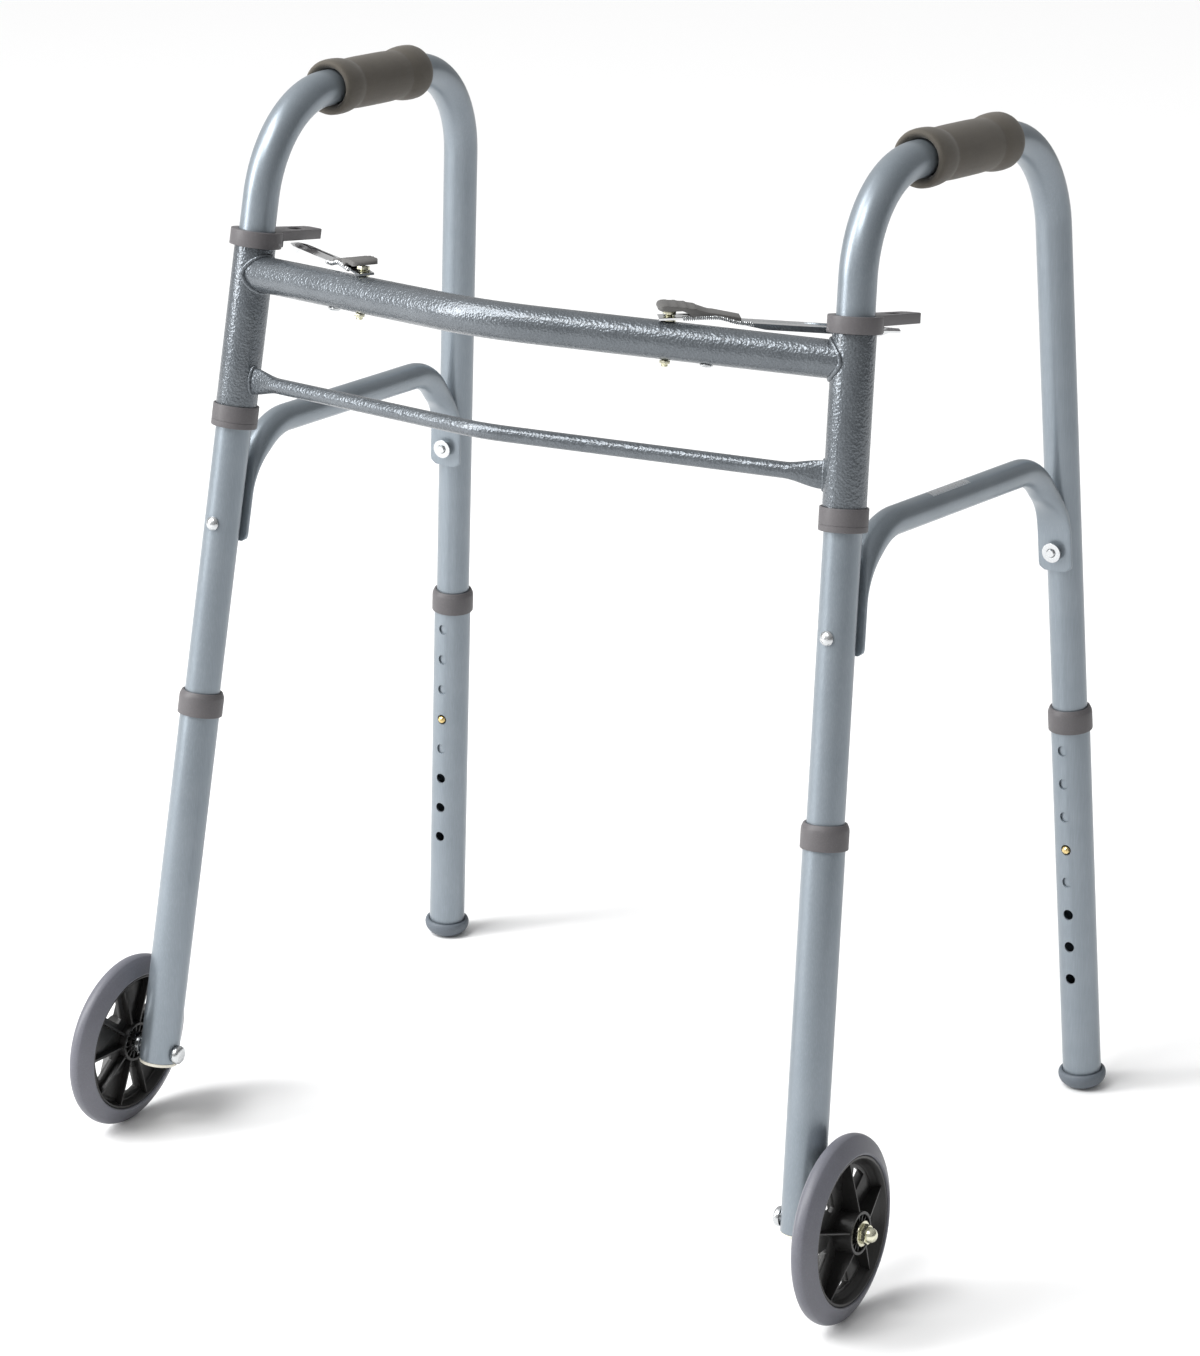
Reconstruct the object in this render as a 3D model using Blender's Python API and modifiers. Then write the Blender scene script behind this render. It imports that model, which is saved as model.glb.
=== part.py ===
"""Folding walker with two front wheels.

The walker stands on Z = 0 with its front towards -Y. Its left side, as its user sees it, is +X.
Every piece of a pair is modelled once, on the left, and mirrored across X = 0 to the right.
"""
import math

import bmesh
import bpy
from mathutils import Matrix, Vector

MM = 0.001
GAP = 0.3 * MM                      # running gap between neighbouring pieces

# The plane of the left side frame: leans in with height, opens out towards the rear.
LEAN_IN = 0.0578
OPEN_OUT = 0.0368
FRONT_FOOT_X = 264.9 * MM
FRONT_FOOT_Y = -191.15 * MM
FRONT_RAKE = 0.190                  # how far the front leg leans back for each metre of height
REAR_FOOT_Y = 225.3 * MM
REAR_RAKE = -0.0308

# Side frame: one bent tube, with a grip on its top run.
LEG_RADIUS = 12.5 * MM
LEG_WALL = 1.3 * MM
BEND_RADIUS = 76.0 * MM
TOP_RUN_Y = 19.85 * MM
TOP_RUN_Z = 728.2 * MM
TOP_RUN_SLOPE = -0.073
FRONT_LEG_END_Z = 170.0 * MM
REAR_LEG_END_Z = 153.0 * MM
GRIP_FRONT_Y = 17.0 * MM
GRIP_LENGTH = 115.0 * MM
GRIP_RADIUS = 17.2 * MM
GRIP_FLANGE_RADIUS = 19.6 * MM

# Brace across the side frame, a tube with flattened saddle ends.
BRACE_RADIUS = 9.8 * MM
BRACE_WALL = 1.3 * MM
BRACE_BEND_RADIUS = 58.0 * MM
BRACE_RUN_Y = 20.5 * MM
BRACE_RUN_Z = 504.0 * MM
BRACE_RUN_SLOPE = -0.073
BRACE_PLATE_HALF_WIDTH = 13.0 * MM
BRACE_PLATE_HALF_THICKNESS = 1.6 * MM
FRONT_BRACE_BOLT_Z = 442.5 * MM
FRONT_BRACE_END_Z = 427.0 * MM
REAR_BRACE_BOLT_Z = 418.0 * MM
REAR_BRACE_END_Z = 403.0 * MM
FRONT_PLATE_LENGTH = 34.0 * MM
REAR_PLATE_LENGTH = 26.0 * MM
BRACE_CRUSH_LENGTH = 48.0 * MM

# Front frame: two sleeves in which the front legs turn, joined by two bowed bars.
SLEEVE_RADIUS = 14.3 * MM
SLEEVE_BORE = 13.1 * MM
SLEEVE_TOP_Z = 633.4 * MM
BUSHING_TOP_Z = 524.9 * MM
BUSHING_BOTTOM_Z = 509.6 * MM
BUSHING_RADIUS = 16.1 * MM
UPPER_BAR_Z = 615.7 * MM
UPPER_BAR_RADIUS = 12.5 * MM
UPPER_BAR_WALL = 1.5 * MM
UPPER_BAR_ANGLE = math.radians(17.6)
UPPER_BAR_BEND = 130.0 * MM
LOWER_BAR_Z = 543.0 * MM
LOWER_BAR_RADIUS = 5.4 * MM
LOWER_BAR_ANGLE = math.radians(14.1)
LOWER_BAR_BEND = 70.0 * MM
LOWER_TAB_HALF_HEIGHT = 9.2 * MM
LOWER_TAB_HALF_THICKNESS = 2.8 * MM

# Latch: a collar with an ear on each side frame, and a lever on the upper bar.
COLLAR_TOP_Z = 644.5 * MM
COLLAR_RADIUS = 18.0 * MM
COLLAR_THICKNESS = 11.0 * MM
EAR_THICKNESS = 6.8 * MM
EAR_LENGTH = 76.0 * MM
EAR_HALF_WIDTH = 7.6 * MM
EAR_SLOT_CENTRE = 50.0 * MM
EAR_SLOT_LENGTH = 16.0 * MM
EAR_SLOT_WIDTH = 7.5 * MM
LEVER_BOLT_X = 118.0 * MM
LEVER_RIVET_X = 144.0 * MM
LEVER_CLEARANCE = 1.7 * MM          # between the upper bar and the lever's strip
LEVER_HALF_WIDTH = 5.5 * MM
LEVER_STRIP = 1.6 * MM
LEVER_LENGTH = 150.0 * MM
LEVER_DROP = 13.8 * MM              # how much lower the strip is at its tip than at its bolt
LEVER_KNEE_START = 28.0 * MM        # where the strip turns down, along the lever
LEVER_KNEE_END = 48.0 * MM
LEVER_KNEE_DROP = 4.4 * MM
PAD_HALF_WIDTH = 9.0 * MM

# Leg extensions with their height adjustment.
EXTENSION_RADIUS = 14.0 * MM
EXTENSION_BORE = 12.8 * MM
HOLE_PITCH = 25.4 * MM
HOLE_COUNT = 8
HOLE_RADIUS = 3.8 * MM
BUTTON_RADIUS = 3.1 * MM
FRONT_BUTTON_Z = 216.0 * MM
REAR_BUTTON_Z = 191.1 * MM
FRONT_HOLES_ABOVE = 4
REAR_HOLES_ABOVE = 3
CLAMP_RADIUS = 15.9 * MM
CLAMP_LENGTH = 17.0 * MM
FRONT_CLAMP_TOP_Z = 323.4 * MM
REAR_CLAMP_TOP_Z = 297.3 * MM
FRONT_EXTENSION_END_Z = 55.0 * MM
REAR_EXTENSION_END_Z = 6.5 * MM
GLIDE_RADIUS = 17.5 * MM
GLIDE_TOP_Z = 13.0 * MM

# Wheels.
WHEEL_RADIUS = 63.5 * MM
WHEEL_HALF_WIDTH = 9.5 * MM
WHEEL_CENTRE_Z = 63.52 * MM
WHEEL_OFFSET = 29.0 * MM            # from the leg's axis to the wheel's middle plane
RIM_RADIUS = 50.0 * MM
HUB_BOSS_RADIUS = 14.5 * MM
HUB_BOSS_OUTER = 14.6 * MM             # from the wheel's middle plane to the boss's outer face
HUB_BORE = 4.4 * MM
AXLE_RADIUS = 4.0 * MM
SPOKE_COUNT = 5

# Facets: how finely round pieces are cut.
FINE = 16
COARSE = 10
WHEEL_STEPS = 30
BEND_STEPS = 6

MIRROR = Matrix.Diagonal((-1.0, 1.0, 1.0, 1.0))

# Finishes: colour, roughness and metallic value.
FINISHES = {
    "anodised_tube": ((0.42, 0.47, 0.51), 0.38, 0.85),
    "hammertone": ((0.20, 0.22, 0.24), 0.42, 0.35),
    "grey_plastic": ((0.13, 0.12, 0.115), 0.55, 0.0),
    "grip_vinyl": ((0.085, 0.08, 0.07), 0.75, 0.0),
    "zinc": ((0.75, 0.76, 0.76), 0.25, 1.0),
    "brass": ((0.72, 0.56, 0.28), 0.25, 1.0),
    "tyre_rubber": ((0.15, 0.15, 0.18), 0.6, 0.0),
    "hub_plastic": ((0.012, 0.012, 0.013), 0.4, 0.0),
    "nylon": ((0.78, 0.76, 0.68), 0.5, 0.0),
    "chrome": ((0.8, 0.8, 0.8), 0.12, 1.0),
    "glide_rubber": ((0.10, 0.11, 0.14), 0.65, 0.0),
}


def side_point(y, z):
    """Point of the left side frame's plane."""
    return Vector((FRONT_FOOT_X + OPEN_OUT * (y - FRONT_FOOT_Y) - LEAN_IN * z, y, z))


def front_point(z):
    return side_point(FRONT_FOOT_Y + FRONT_RAKE * z, z)


def rear_point(z):
    return side_point(REAR_FOOT_Y + REAR_RAKE * z, z)


SIDE_NORMAL = Vector((1.0, -OPEN_OUT, LEAN_IN)).normalized()
FRONT_AXIS = (front_point(1.0) - front_point(0.0)).normalized()
REAR_AXIS = (rear_point(1.0) - rear_point(0.0)).normalized()


def axes_matrix(origin, x_axis, z_axis):
    """Placement whose Z follows z_axis and whose X is as close to x_axis as that allows."""
    z_dir = z_axis.normalized()
    y_dir = z_dir.cross(x_axis).normalized()
    x_dir = y_dir.cross(z_dir)
    rotation = Matrix((x_dir, y_dir, z_dir)).transposed()
    return Matrix.Translation(origin) @ rotation.to_4x4()


def front_matrix(z):
    """On the front leg's axis: local Z up the leg, local X outwards, local Y to the rear."""
    return axes_matrix(front_point(z), SIDE_NORMAL, FRONT_AXIS)


def rear_matrix(z):
    return axes_matrix(rear_point(z), SIDE_NORMAL, REAR_AXIS)


def wheel_matrix():
    """Wheel centre: local Z along the axle, outwards, square to the leg; local Y up."""
    axle = (Vector((1.0, 0.0, 0.0)) - FRONT_AXIS.x * FRONT_AXIS).normalized()
    centre = front_point(WHEEL_CENTRE_Z - WHEEL_OFFSET * axle.z) + WHEEL_OFFSET * axle
    up = (Vector((0.0, 0.0, 1.0)) - axle.z * axle).normalized()
    return axes_matrix(centre, -up.cross(axle), axle)


# ---------------------------------------------------------------- making and placing meshes

def clear_scene():
    for item in list(bpy.data.objects):
        bpy.data.objects.remove(item)


def make_materials():
    materials = {}
    for name, (colour, roughness, metallic) in FINISHES.items():
        material = bpy.data.materials.new(name)
        material.use_nodes = True
        shader = material.node_tree.nodes["Principled BSDF"]
        shader.inputs["Base Color"].default_value = (*colour, 1.0)
        shader.inputs["Roughness"].default_value = roughness
        shader.inputs["Metallic"].default_value = metallic
        materials[name] = material
    return materials


def link(name, data):
    item = bpy.data.objects.new(name, data)
    bpy.context.scene.collection.objects.link(item)
    return item


def bake(item):
    """Replace an object by a plain mesh of what its curve and modifiers give."""
    graph = bpy.context.evaluated_depsgraph_get()
    graph.update()
    mesh = bpy.data.meshes.new_from_object(item.evaluated_get(graph))
    shape = bmesh.new()
    shape.from_mesh(mesh)
    bmesh.ops.remove_doubles(shape, verts=shape.verts, dist=0.01 * MM)
    shape.to_mesh(mesh)
    shape.free()
    name = item.name
    matrix = item.matrix_world.copy()
    bpy.data.objects.remove(item)
    plain = link(name, mesh)
    plain.matrix_world = matrix
    return plain


def turned(name, profile, steps=FINE, matrix=Matrix.Identity(4)):
    """Closed profile of (radius, height) points, outer side first and downwards, turned about Z."""
    count = len(profile)
    points = [(radius, 0.0, height) for radius, height in profile]
    edges = [(index, (index + 1) % count) for index in range(count)]
    if profile[0][0] == 0.0 and profile[-1][0] == 0.0:
        edges.pop()
    mesh = bpy.data.meshes.new(name)
    mesh.from_pydata(points, edges, [])
    item = link(name, mesh)
    screw = item.modifiers.new("Turn", "SCREW")
    screw.steps = steps
    screw.render_steps = steps
    screw.use_merge_vertices = True
    screw.merge_threshold = 0.01 * MM
    item.matrix_world = matrix
    return bake(item)


def ring(name, outer, bore, bottom, top, chamfer=0.0, steps=FINE, matrix=Matrix.Identity(4)):
    profile = [(outer - chamfer, top), (outer, top - chamfer), (outer, bottom + chamfer),
               (outer - chamfer, bottom), (bore, bottom), (bore, top)]
    if chamfer == 0.0:
        profile = [(outer, top), (outer, bottom), (bore, bottom), (bore, top)]
    return turned(name, profile, steps, matrix)


def rod(name, radius, bottom, top, steps=COARSE, matrix=Matrix.Identity(4)):
    profile = [(0.0, top), (radius, top), (radius, bottom), (0.0, bottom)]
    return turned(name, profile, steps, matrix)


def tube(name, points, radius, wall, sides=FINE):
    """Hollow tube, open at both ends, along a path."""
    curve = bpy.data.curves.new(name, "CURVE")
    curve.dimensions = "3D"
    curve.bevel_depth = radius
    curve.bevel_resolution = sides // 2 - 2
    spline = curve.splines.new("POLY")
    spline.points.add(len(points) - 1)
    for target, point in zip(spline.points, points):
        target.co = (*point, 1.0)
    item = bake(link(name, curve))
    solidify = item.modifiers.new("Wall", "SOLIDIFY")
    solidify.thickness = wall
    solidify.offset = -1.0
    return outward(bake(item))


def plate(name, loops, thickness, matrix=Matrix.Identity(4)):
    """Flat outline in local XY, its further loops being holes, centred on local Z = 0."""
    curve = bpy.data.curves.new(name, "CURVE")
    curve.dimensions = "2D"
    curve.fill_mode = "BOTH"
    curve.extrude = thickness / 2
    for loop in loops:
        spline = curve.splines.new("POLY")
        spline.points.add(len(loop) - 1)
        for target, point in zip(spline.points, loop):
            target.co = (point[0], point[1], 0.0, 1.0)
        spline.use_cyclic_u = True
    item = link(name, curve)
    item.matrix_world = matrix
    return outward(bake(item))


def outward(item):
    """Turn every face outwards."""
    shape = bmesh.new()
    shape.from_mesh(item.data)
    bmesh.ops.recalc_face_normals(shape, faces=shape.faces)
    if shape.calc_volume(signed=True) < 0.0:
        bmesh.ops.reverse_faces(shape, faces=shape.faces)
    shape.to_mesh(item.data)
    shape.free()
    return item


def skin(shape, rows, flip=False):
    """Quads between neighbouring rings of vertices."""
    count = len(rows[0])
    for low, high in zip(rows, rows[1:]):
        for index in range(count):
            after = (index + 1) % count
            corners = (low[index], low[after], high[after], high[index])
            shape.faces.new(corners[::-1] if flip else corners)


def hollow_loft(name, outer_rings, inner_rings):
    """Tube of changing section: an outer and an inner skin, joined at both open ends."""
    shape = bmesh.new()
    outer = [[shape.verts.new(point) for point in section] for section in outer_rings]
    inner = [[shape.verts.new(point) for point in section] for section in inner_rings]
    skin(shape, outer)
    skin(shape, inner, flip=True)
    skin(shape, [inner[0], outer[0]])
    skin(shape, [outer[-1], inner[-1]])
    mesh = bpy.data.meshes.new(name)
    shape.to_mesh(mesh)
    shape.free()
    return outward(link(name, mesh))


def solid_loft(name, rings):
    shape = bmesh.new()
    rows = [[shape.verts.new(point) for point in section] for section in rings]
    skin(shape, rows)
    shape.faces.new(rows[0][::-1])
    shape.faces.new(rows[-1])
    mesh = bpy.data.meshes.new(name)
    shape.to_mesh(mesh)
    shape.free()
    return outward(link(name, mesh))


def combine(item, tool, operation):
    """Boolean with a tool that is used up."""
    modifier = item.modifiers.new(operation.title(), "BOOLEAN")
    modifier.operation = operation
    modifier.solver = "EXACT"
    modifier.object = tool
    result = bake(item)
    bpy.data.objects.remove(tool)
    return result


def drill(item, matrix, radius, bottom, top, steps=8):
    return combine(item, rod("drill", radius, bottom, top, steps, matrix), "DIFFERENCE")


def finish(item, material, collection, sides=(1,)):
    """Put a left piece, and its mirrored twin where sides has -1, in the walker's collection."""
    base = item.name
    item.data.materials.clear()
    item.data.materials.append(material)
    item.data.shade_smooth()
    item.data.set_sharp_from_angle(angle=math.radians(35.0))
    if -1 in sides:
        mesh = item.data.copy()
        mesh.transform(MIRROR)
        mesh.flip_normals()
        twin = bpy.data.objects.new("right_" + base, mesh)
        twin.matrix_world = MIRROR @ item.matrix_world @ MIRROR
        collection.objects.link(twin)
        item.name = "left_" + base
    item.data.name = item.name
    bpy.context.scene.collection.objects.unlink(item)
    collection.objects.link(item)


# ---------------------------------------------------------------- outlines and paths

def arc(centre_x, centre_y, radius, start, end, steps):
    """Points of a flat arc, angles in degrees."""
    points = []
    for index in range(steps + 1):
        angle = math.radians(start + (end - start) * index / steps)
        points.append((centre_x + radius * math.cos(angle), centre_y + radius * math.sin(angle)))
    return points


def line_crossing(first, first_dir, second, second_dir):
    """Crossing of two lines in the (y, z) plane."""
    turn = first_dir.x * second_dir.y - first_dir.y * second_dir.x
    gap = second - first
    return first + first_dir * ((gap.x * second_dir.y - gap.y * second_dir.x) / turn)


def rounded_corner(corner, arriving, leaving, radius):
    """Points of the arc that rounds a corner of a path in the (y, z) plane."""
    turn = arriving.angle(leaving)
    reach = radius * math.tan(turn / 2)
    start = corner - arriving * reach
    side = (leaving - arriving * leaving.dot(arriving)).normalized()
    points = []
    for index in range(BEND_STEPS + 1):
        angle = turn * index / BEND_STEPS
        points.append(start + arriving * radius * math.sin(angle)
                      + side * radius * (1.0 - math.cos(angle)))
    return points


def arch(front_foot, rear_foot, run_point, run_slope, radius):
    """Two rounded corners of a frame whose sides follow the legs and whose top is straight."""
    up_front = Vector((FRONT_RAKE, 1.0)).normalized()
    up_rear = Vector((REAR_RAKE, 1.0)).normalized()
    back = Vector((1.0, run_slope)).normalized()
    front_corner = line_crossing(front_foot, up_front, run_point, back)
    rear_corner = line_crossing(rear_foot, up_rear, run_point, back)
    return (rounded_corner(front_corner, up_front, back, radius)
            + rounded_corner(rear_corner, back, -up_rear, radius))


def bar_point(x, height, angle, bend):
    """Centreline of a crossbar: straight from the sleeve, then bent round its middle."""
    end = front_point(height)
    straight = end.x - bend * math.sin(angle)
    depth = straight * math.tan(angle) + bend * (1.0 - math.cos(angle))
    if abs(x) < bend * math.sin(angle):
        bow = depth - bend + math.sqrt(bend * bend - x * x)
    else:
        bow = (end.x - abs(x)) * math.tan(angle)
    forward = Vector((0.0, -FRONT_AXIS.z, FRONT_AXIS.y)).normalized()
    return Vector((x, end.y, end.z)) + forward * bow


def bar_stations(height, angle, bend):
    """X of a crossbar's stations: its ends, and steps round its middle bend."""
    end = front_point(height).x
    half = bend * math.sin(angle)
    middle = [half * (2.0 * index / BEND_STEPS - 1.0) for index in range(BEND_STEPS + 1)]
    return [-end, *middle, end]


# ---------------------------------------------------------------- side frame

def make_side_tube():
    front_foot = Vector((FRONT_FOOT_Y, 0.0))
    rear_foot = Vector((REAR_FOOT_Y, 0.0))
    flat = arch(front_foot, rear_foot, Vector((TOP_RUN_Y, TOP_RUN_Z)), TOP_RUN_SLOPE, BEND_RADIUS)
    points = [front_point(FRONT_LEG_END_Z)]
    points += [side_point(point.x, point.y) for point in flat]
    points.append(rear_point(REAR_LEG_END_Z))
    item = tube("side_tube", points, LEG_RADIUS, LEG_WALL)
    reach = 2.0 * LEG_RADIUS
    for matrix in (front_matrix(FRONT_BRACE_BOLT_Z), rear_matrix(REAR_BRACE_BOLT_Z)):
        item = drill(item, matrix @ Matrix.Rotation(math.radians(90.0), 4, "X"),
                     BOLT_RADIUS + GAP, -reach, reach)
    item = drill(item, front_button_matrix(), HOLE_RADIUS, 0.0, reach)
    return drill(item, rear_button_matrix(), HOLE_RADIUS, 0.0, reach)


def make_grip():
    """Grip with a flared flange at each end and a slight barrel between."""
    start = side_point(GRIP_FRONT_Y, TOP_RUN_Z + TOP_RUN_SLOPE * (GRIP_FRONT_Y - TOP_RUN_Y))
    along = side_point(1.0, TOP_RUN_SLOPE) - side_point(0.0, 0.0)
    half = GRIP_LENGTH / 2
    centre = start + along.normalized() * half
    flange = GRIP_FLANGE_RADIUS
    waist = GRIP_RADIUS - 0.8 * MM
    quarter = [(flange - 3.0 * MM, half), (flange - 0.7 * MM, half - 1.2 * MM), (flange, half - 4.0 * MM),
               (flange - 0.9 * MM, half - 8.0 * MM), (waist, half - 14.0 * MM),
               (GRIP_RADIUS - 0.2 * MM, half - 26.0 * MM), (GRIP_RADIUS, 0.012)]
    profile = quarter + [(radius, -height) for radius, height in reversed(quarter)]
    bore = LEG_RADIUS + GAP
    profile += [(bore, -half), (bore, half)]
    return turned("handgrip", profile, FINE, axes_matrix(centre, SIDE_NORMAL, along))


def brace_section(centre, outwards, flatness, inset):
    """Closed section of the brace: round where flatness is 0, a flat plate where it is 1."""
    across = SIDE_NORMAL
    half_width = BRACE_RADIUS + (BRACE_PLATE_HALF_WIDTH - BRACE_RADIUS) * flatness - inset
    half_depth = BRACE_RADIUS + (BRACE_PLATE_HALF_THICKNESS - BRACE_RADIUS) * flatness - inset
    points = []
    for index in range(COARSE):
        angle = 2.0 * math.pi * index / COARSE
        points.append(centre + across * half_width * math.cos(angle) + outwards * half_depth * math.sin(angle))
    return points


def pressed_flat(distance, plate_length):
    """1 on a brace's plate, falling smoothly to 0 where the tube is round again."""
    ratio = (distance - plate_length) / BRACE_CRUSH_LENGTH
    ratio = min(max(ratio, 0.0), 1.0)
    return 1.0 - ratio * ratio * (3.0 - 2.0 * ratio)


def make_brace():
    """Brace: top run parallel to the grip, both ends turned down the legs and flattened."""
    seat = LEG_RADIUS + GAP + BRACE_PLATE_HALF_THICKNESS
    front_seat = Vector((FRONT_FOOT_Y + seat * math.hypot(1.0, FRONT_RAKE), 0.0))
    rear_seat = Vector((REAR_FOOT_Y - seat * math.hypot(1.0, REAR_RAKE), 0.0))
    bends = arch(front_seat, rear_seat, Vector((BRACE_RUN_Y, BRACE_RUN_Z)), BRACE_RUN_SLOPE,
                 BRACE_BEND_RADIUS)

    def on_leg(foot, rake, z):
        return Vector((foot.x + rake * z, z))

    def plate_points(foot, rake, end_z, plate_length, bend_z):
        """From the plate's end up the leg, stopping short of the bend."""
        rises = (0.0, plate_length, plate_length + 0.3 * BRACE_CRUSH_LENGTH)
        return [on_leg(foot, rake, end_z + rise) for rise in rises if end_z + rise < bend_z - 3.0 * MM]

    front = plate_points(front_seat, FRONT_RAKE, FRONT_BRACE_END_Z, FRONT_PLATE_LENGTH, bends[0].y)
    rear = plate_points(rear_seat, REAR_RAKE, REAR_BRACE_END_Z, REAR_PLATE_LENGTH, bends[-1].y)
    path = front + bends + rear[::-1]
    run = [0.0]
    for before, after in zip(path, path[1:]):
        run.append(run[-1] + (after - before).length)
    outer, inner = [], []
    for index, point in enumerate(path):
        before = path[max(index - 1, 0)]
        after = path[min(index + 1, len(path) - 1)]
        heading = (after - before).normalized()
        along = side_point(heading.x, heading.y) - side_point(0.0, 0.0)
        outwards = SIDE_NORMAL.cross(along).normalized()
        flatness = max(pressed_flat(run[index], FRONT_PLATE_LENGTH),
                       pressed_flat(run[-1] - run[index], REAR_PLATE_LENGTH))
        clear = (BRACE_RADIUS - BRACE_PLATE_HALF_THICKNESS) * (1.0 - flatness)
        centre = side_point(point.x, point.y) - outwards * clear
        outer.append(brace_section(centre, outwards, flatness, 0.0))
        inner.append(brace_section(centre, outwards, flatness, BRACE_WALL))
    item = hollow_loft("brace", outer, inner)
    reach = 30.0 * MM
    for matrix in (front_matrix(FRONT_BRACE_BOLT_Z), rear_matrix(REAR_BRACE_BOLT_Z)):
        item = drill(item, matrix @ Matrix.Rotation(math.radians(90.0), 4, "X"),
                     BOLT_RADIUS + GAP, -reach, reach)
    return item


BOLT_RADIUS = 3.0 * MM
BOLT_HEAD_RADIUS = 4.9 * MM
BOLT_HEAD_HEIGHT = 3.0 * MM
NUT_RADIUS = 6.3 * MM
NUT_HEIGHT = 4.6 * MM


def dome_bolt(name, head_at, shank_end, matrix):
    """Round-headed bolt: its head rests at head_at and its shank runs down to shank_end."""
    top = head_at + BOLT_HEAD_HEIGHT
    dome = [(0.0, top), (0.45 * BOLT_HEAD_RADIUS, top - 0.3 * MM), (0.85 * BOLT_HEAD_RADIUS, top - 1.4 * MM),
            (BOLT_HEAD_RADIUS, head_at + 0.4 * MM), (BOLT_HEAD_RADIUS, head_at)]
    shank = [(BOLT_RADIUS, head_at), (BOLT_RADIUS, shank_end), (0.0, shank_end)]
    return turned(name, dome + shank, COARSE, matrix)


def hex_nut(name, bottom, top, matrix, radius=NUT_RADIUS, bore=BOLT_RADIUS + GAP):
    corners = [(radius * math.cos(math.radians(60.0 * index)), radius * math.sin(math.radians(60.0 * index)))
               for index in range(6)]
    place = matrix @ Matrix.Translation((0.0, 0.0, (bottom + top) / 2))
    return plate(name, [corners, arc(0.0, 0.0, bore, 0.0, 330.0, 11)], top - bottom, place)


def brace_fasteners():
    """Bolt heads on the outer faces of the frame's ends, nuts on the brace's plates."""
    forward = Matrix.Rotation(math.radians(90.0), 4, "X")
    backward = Matrix.Rotation(math.radians(-90.0), 4, "X")
    face = LEG_RADIUS + GAP
    seat = LEG_RADIUS + 2.0 * GAP + 2.0 * BRACE_PLATE_HALF_THICKNESS
    front = front_matrix(FRONT_BRACE_BOLT_Z)
    rear = rear_matrix(REAR_BRACE_BOLT_Z)
    end = -seat - NUT_HEIGHT - 1.5 * MM
    return [
        dome_bolt("front_brace_bolt", face, end, front @ forward),
        hex_nut("front_brace_nut", -seat - NUT_HEIGHT, -seat, front @ forward),
        dome_bolt("rear_brace_bolt", face, end, rear @ backward),
        hex_nut("rear_brace_nut", -seat - NUT_HEIGHT, -seat, rear @ backward),
    ]


def make_latch_collar():
    """Collar with its ear towards the rear; the ear's slot takes the lever's tip."""
    end_radius = 5.0 * MM
    corner_x = EAR_HALF_WIDTH - end_radius
    corner_y = EAR_LENGTH - end_radius
    outline = arc(0.0, 0.0, COLLAR_RADIUS, 125.0, 415.0, 24)
    outline += arc(corner_x, corner_y, end_radius, 0.0, 90.0, 4)
    outline += arc(-corner_x, corner_y, end_radius, 90.0, 180.0, 4)
    bore = arc(0.0, 0.0, LEG_RADIUS + GAP, 0.0, 345.0, 23)
    slot_radius = EAR_SLOT_WIDTH / 2
    slot_reach = EAR_SLOT_LENGTH / 2 - slot_radius
    slot = arc(0.0, EAR_SLOT_CENTRE + slot_reach, slot_radius, 0.0, 180.0, 6)
    slot += arc(0.0, EAR_SLOT_CENTRE - slot_reach, slot_radius, 180.0, 360.0, 6)
    place = front_matrix(COLLAR_TOP_Z) @ Matrix.Translation((0.0, 0.0, -COLLAR_THICKNESS / 2))
    item = plate("latch_collar", [outline, bore, slot], COLLAR_THICKNESS, place)
    # The ear is thinner than the collar, from below.
    relief_start = COLLAR_RADIUS + 2.0 * MM
    relief_end = EAR_LENGTH + 10.0 * MM
    relief_top = COLLAR_THICKNESS / 2 - EAR_THICKNESS
    half = (relief_end - relief_start) / 2
    size = Matrix.Diagonal((30.0 * MM, half, 10.0 * MM, 1.0))
    offset = Matrix.Translation((0.0, relief_start + half, relief_top - 10.0 * MM))
    shape = bmesh.new()
    bmesh.ops.create_cube(shape, size=2.0, matrix=place @ offset @ size)
    mesh = bpy.data.meshes.new("relief")
    shape.to_mesh(mesh)
    shape.free()
    return combine(item, link("relief", mesh), "DIFFERENCE")


# ---------------------------------------------------------------- front frame

def make_sleeve():
    base = front_matrix(BUSHING_BOTTOM_Z)
    lip = 4.0 * MM
    top = (front_point(SLEEVE_TOP_Z) - front_point(BUSHING_BOTTOM_Z)).length
    return ring("sleeve", SLEEVE_RADIUS, SLEEVE_BORE, lip + GAP, top, matrix=base)


def make_sleeve_bushing():
    """Cap on the sleeve's lower end, with a lip that guides the leg."""
    top = (front_point(BUSHING_TOP_Z) - front_point(BUSHING_BOTTOM_Z)).length
    lip = 4.0 * MM
    edge = 0.8 * MM
    seat = SLEEVE_RADIUS + GAP
    profile = [(BUSHING_RADIUS - edge, top), (BUSHING_RADIUS, top - edge), (BUSHING_RADIUS, edge),
               (BUSHING_RADIUS - edge, 0.0), (LEG_RADIUS + GAP, 0.0), (LEG_RADIUS + GAP, lip),
               (seat, lip), (seat, top)]
    return turned("sleeve_bushing", profile, FINE, front_matrix(BUSHING_BOTTOM_Z))


def cope(item, height):
    """Cut a crossbar's ends to fit round the sleeves."""
    for side in (1, -1):
        matrix = front_matrix(height)
        if side < 0:
            matrix = MIRROR @ matrix @ MIRROR
        item = drill(item, matrix, SLEEVE_RADIUS + GAP, -60.0 * MM, 60.0 * MM, FINE)
    return item


def upper_bar_point(x):
    return bar_point(x, UPPER_BAR_Z, UPPER_BAR_ANGLE, UPPER_BAR_BEND)


def bar_hole_matrix(x):
    """Through the upper bar, square to it."""
    upright = Vector((0.0, FRONT_AXIS.y, FRONT_AXIS.z)).normalized()
    return axes_matrix(upper_bar_point(x), Vector((1.0, 0.0, 0.0)), upright)


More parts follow.
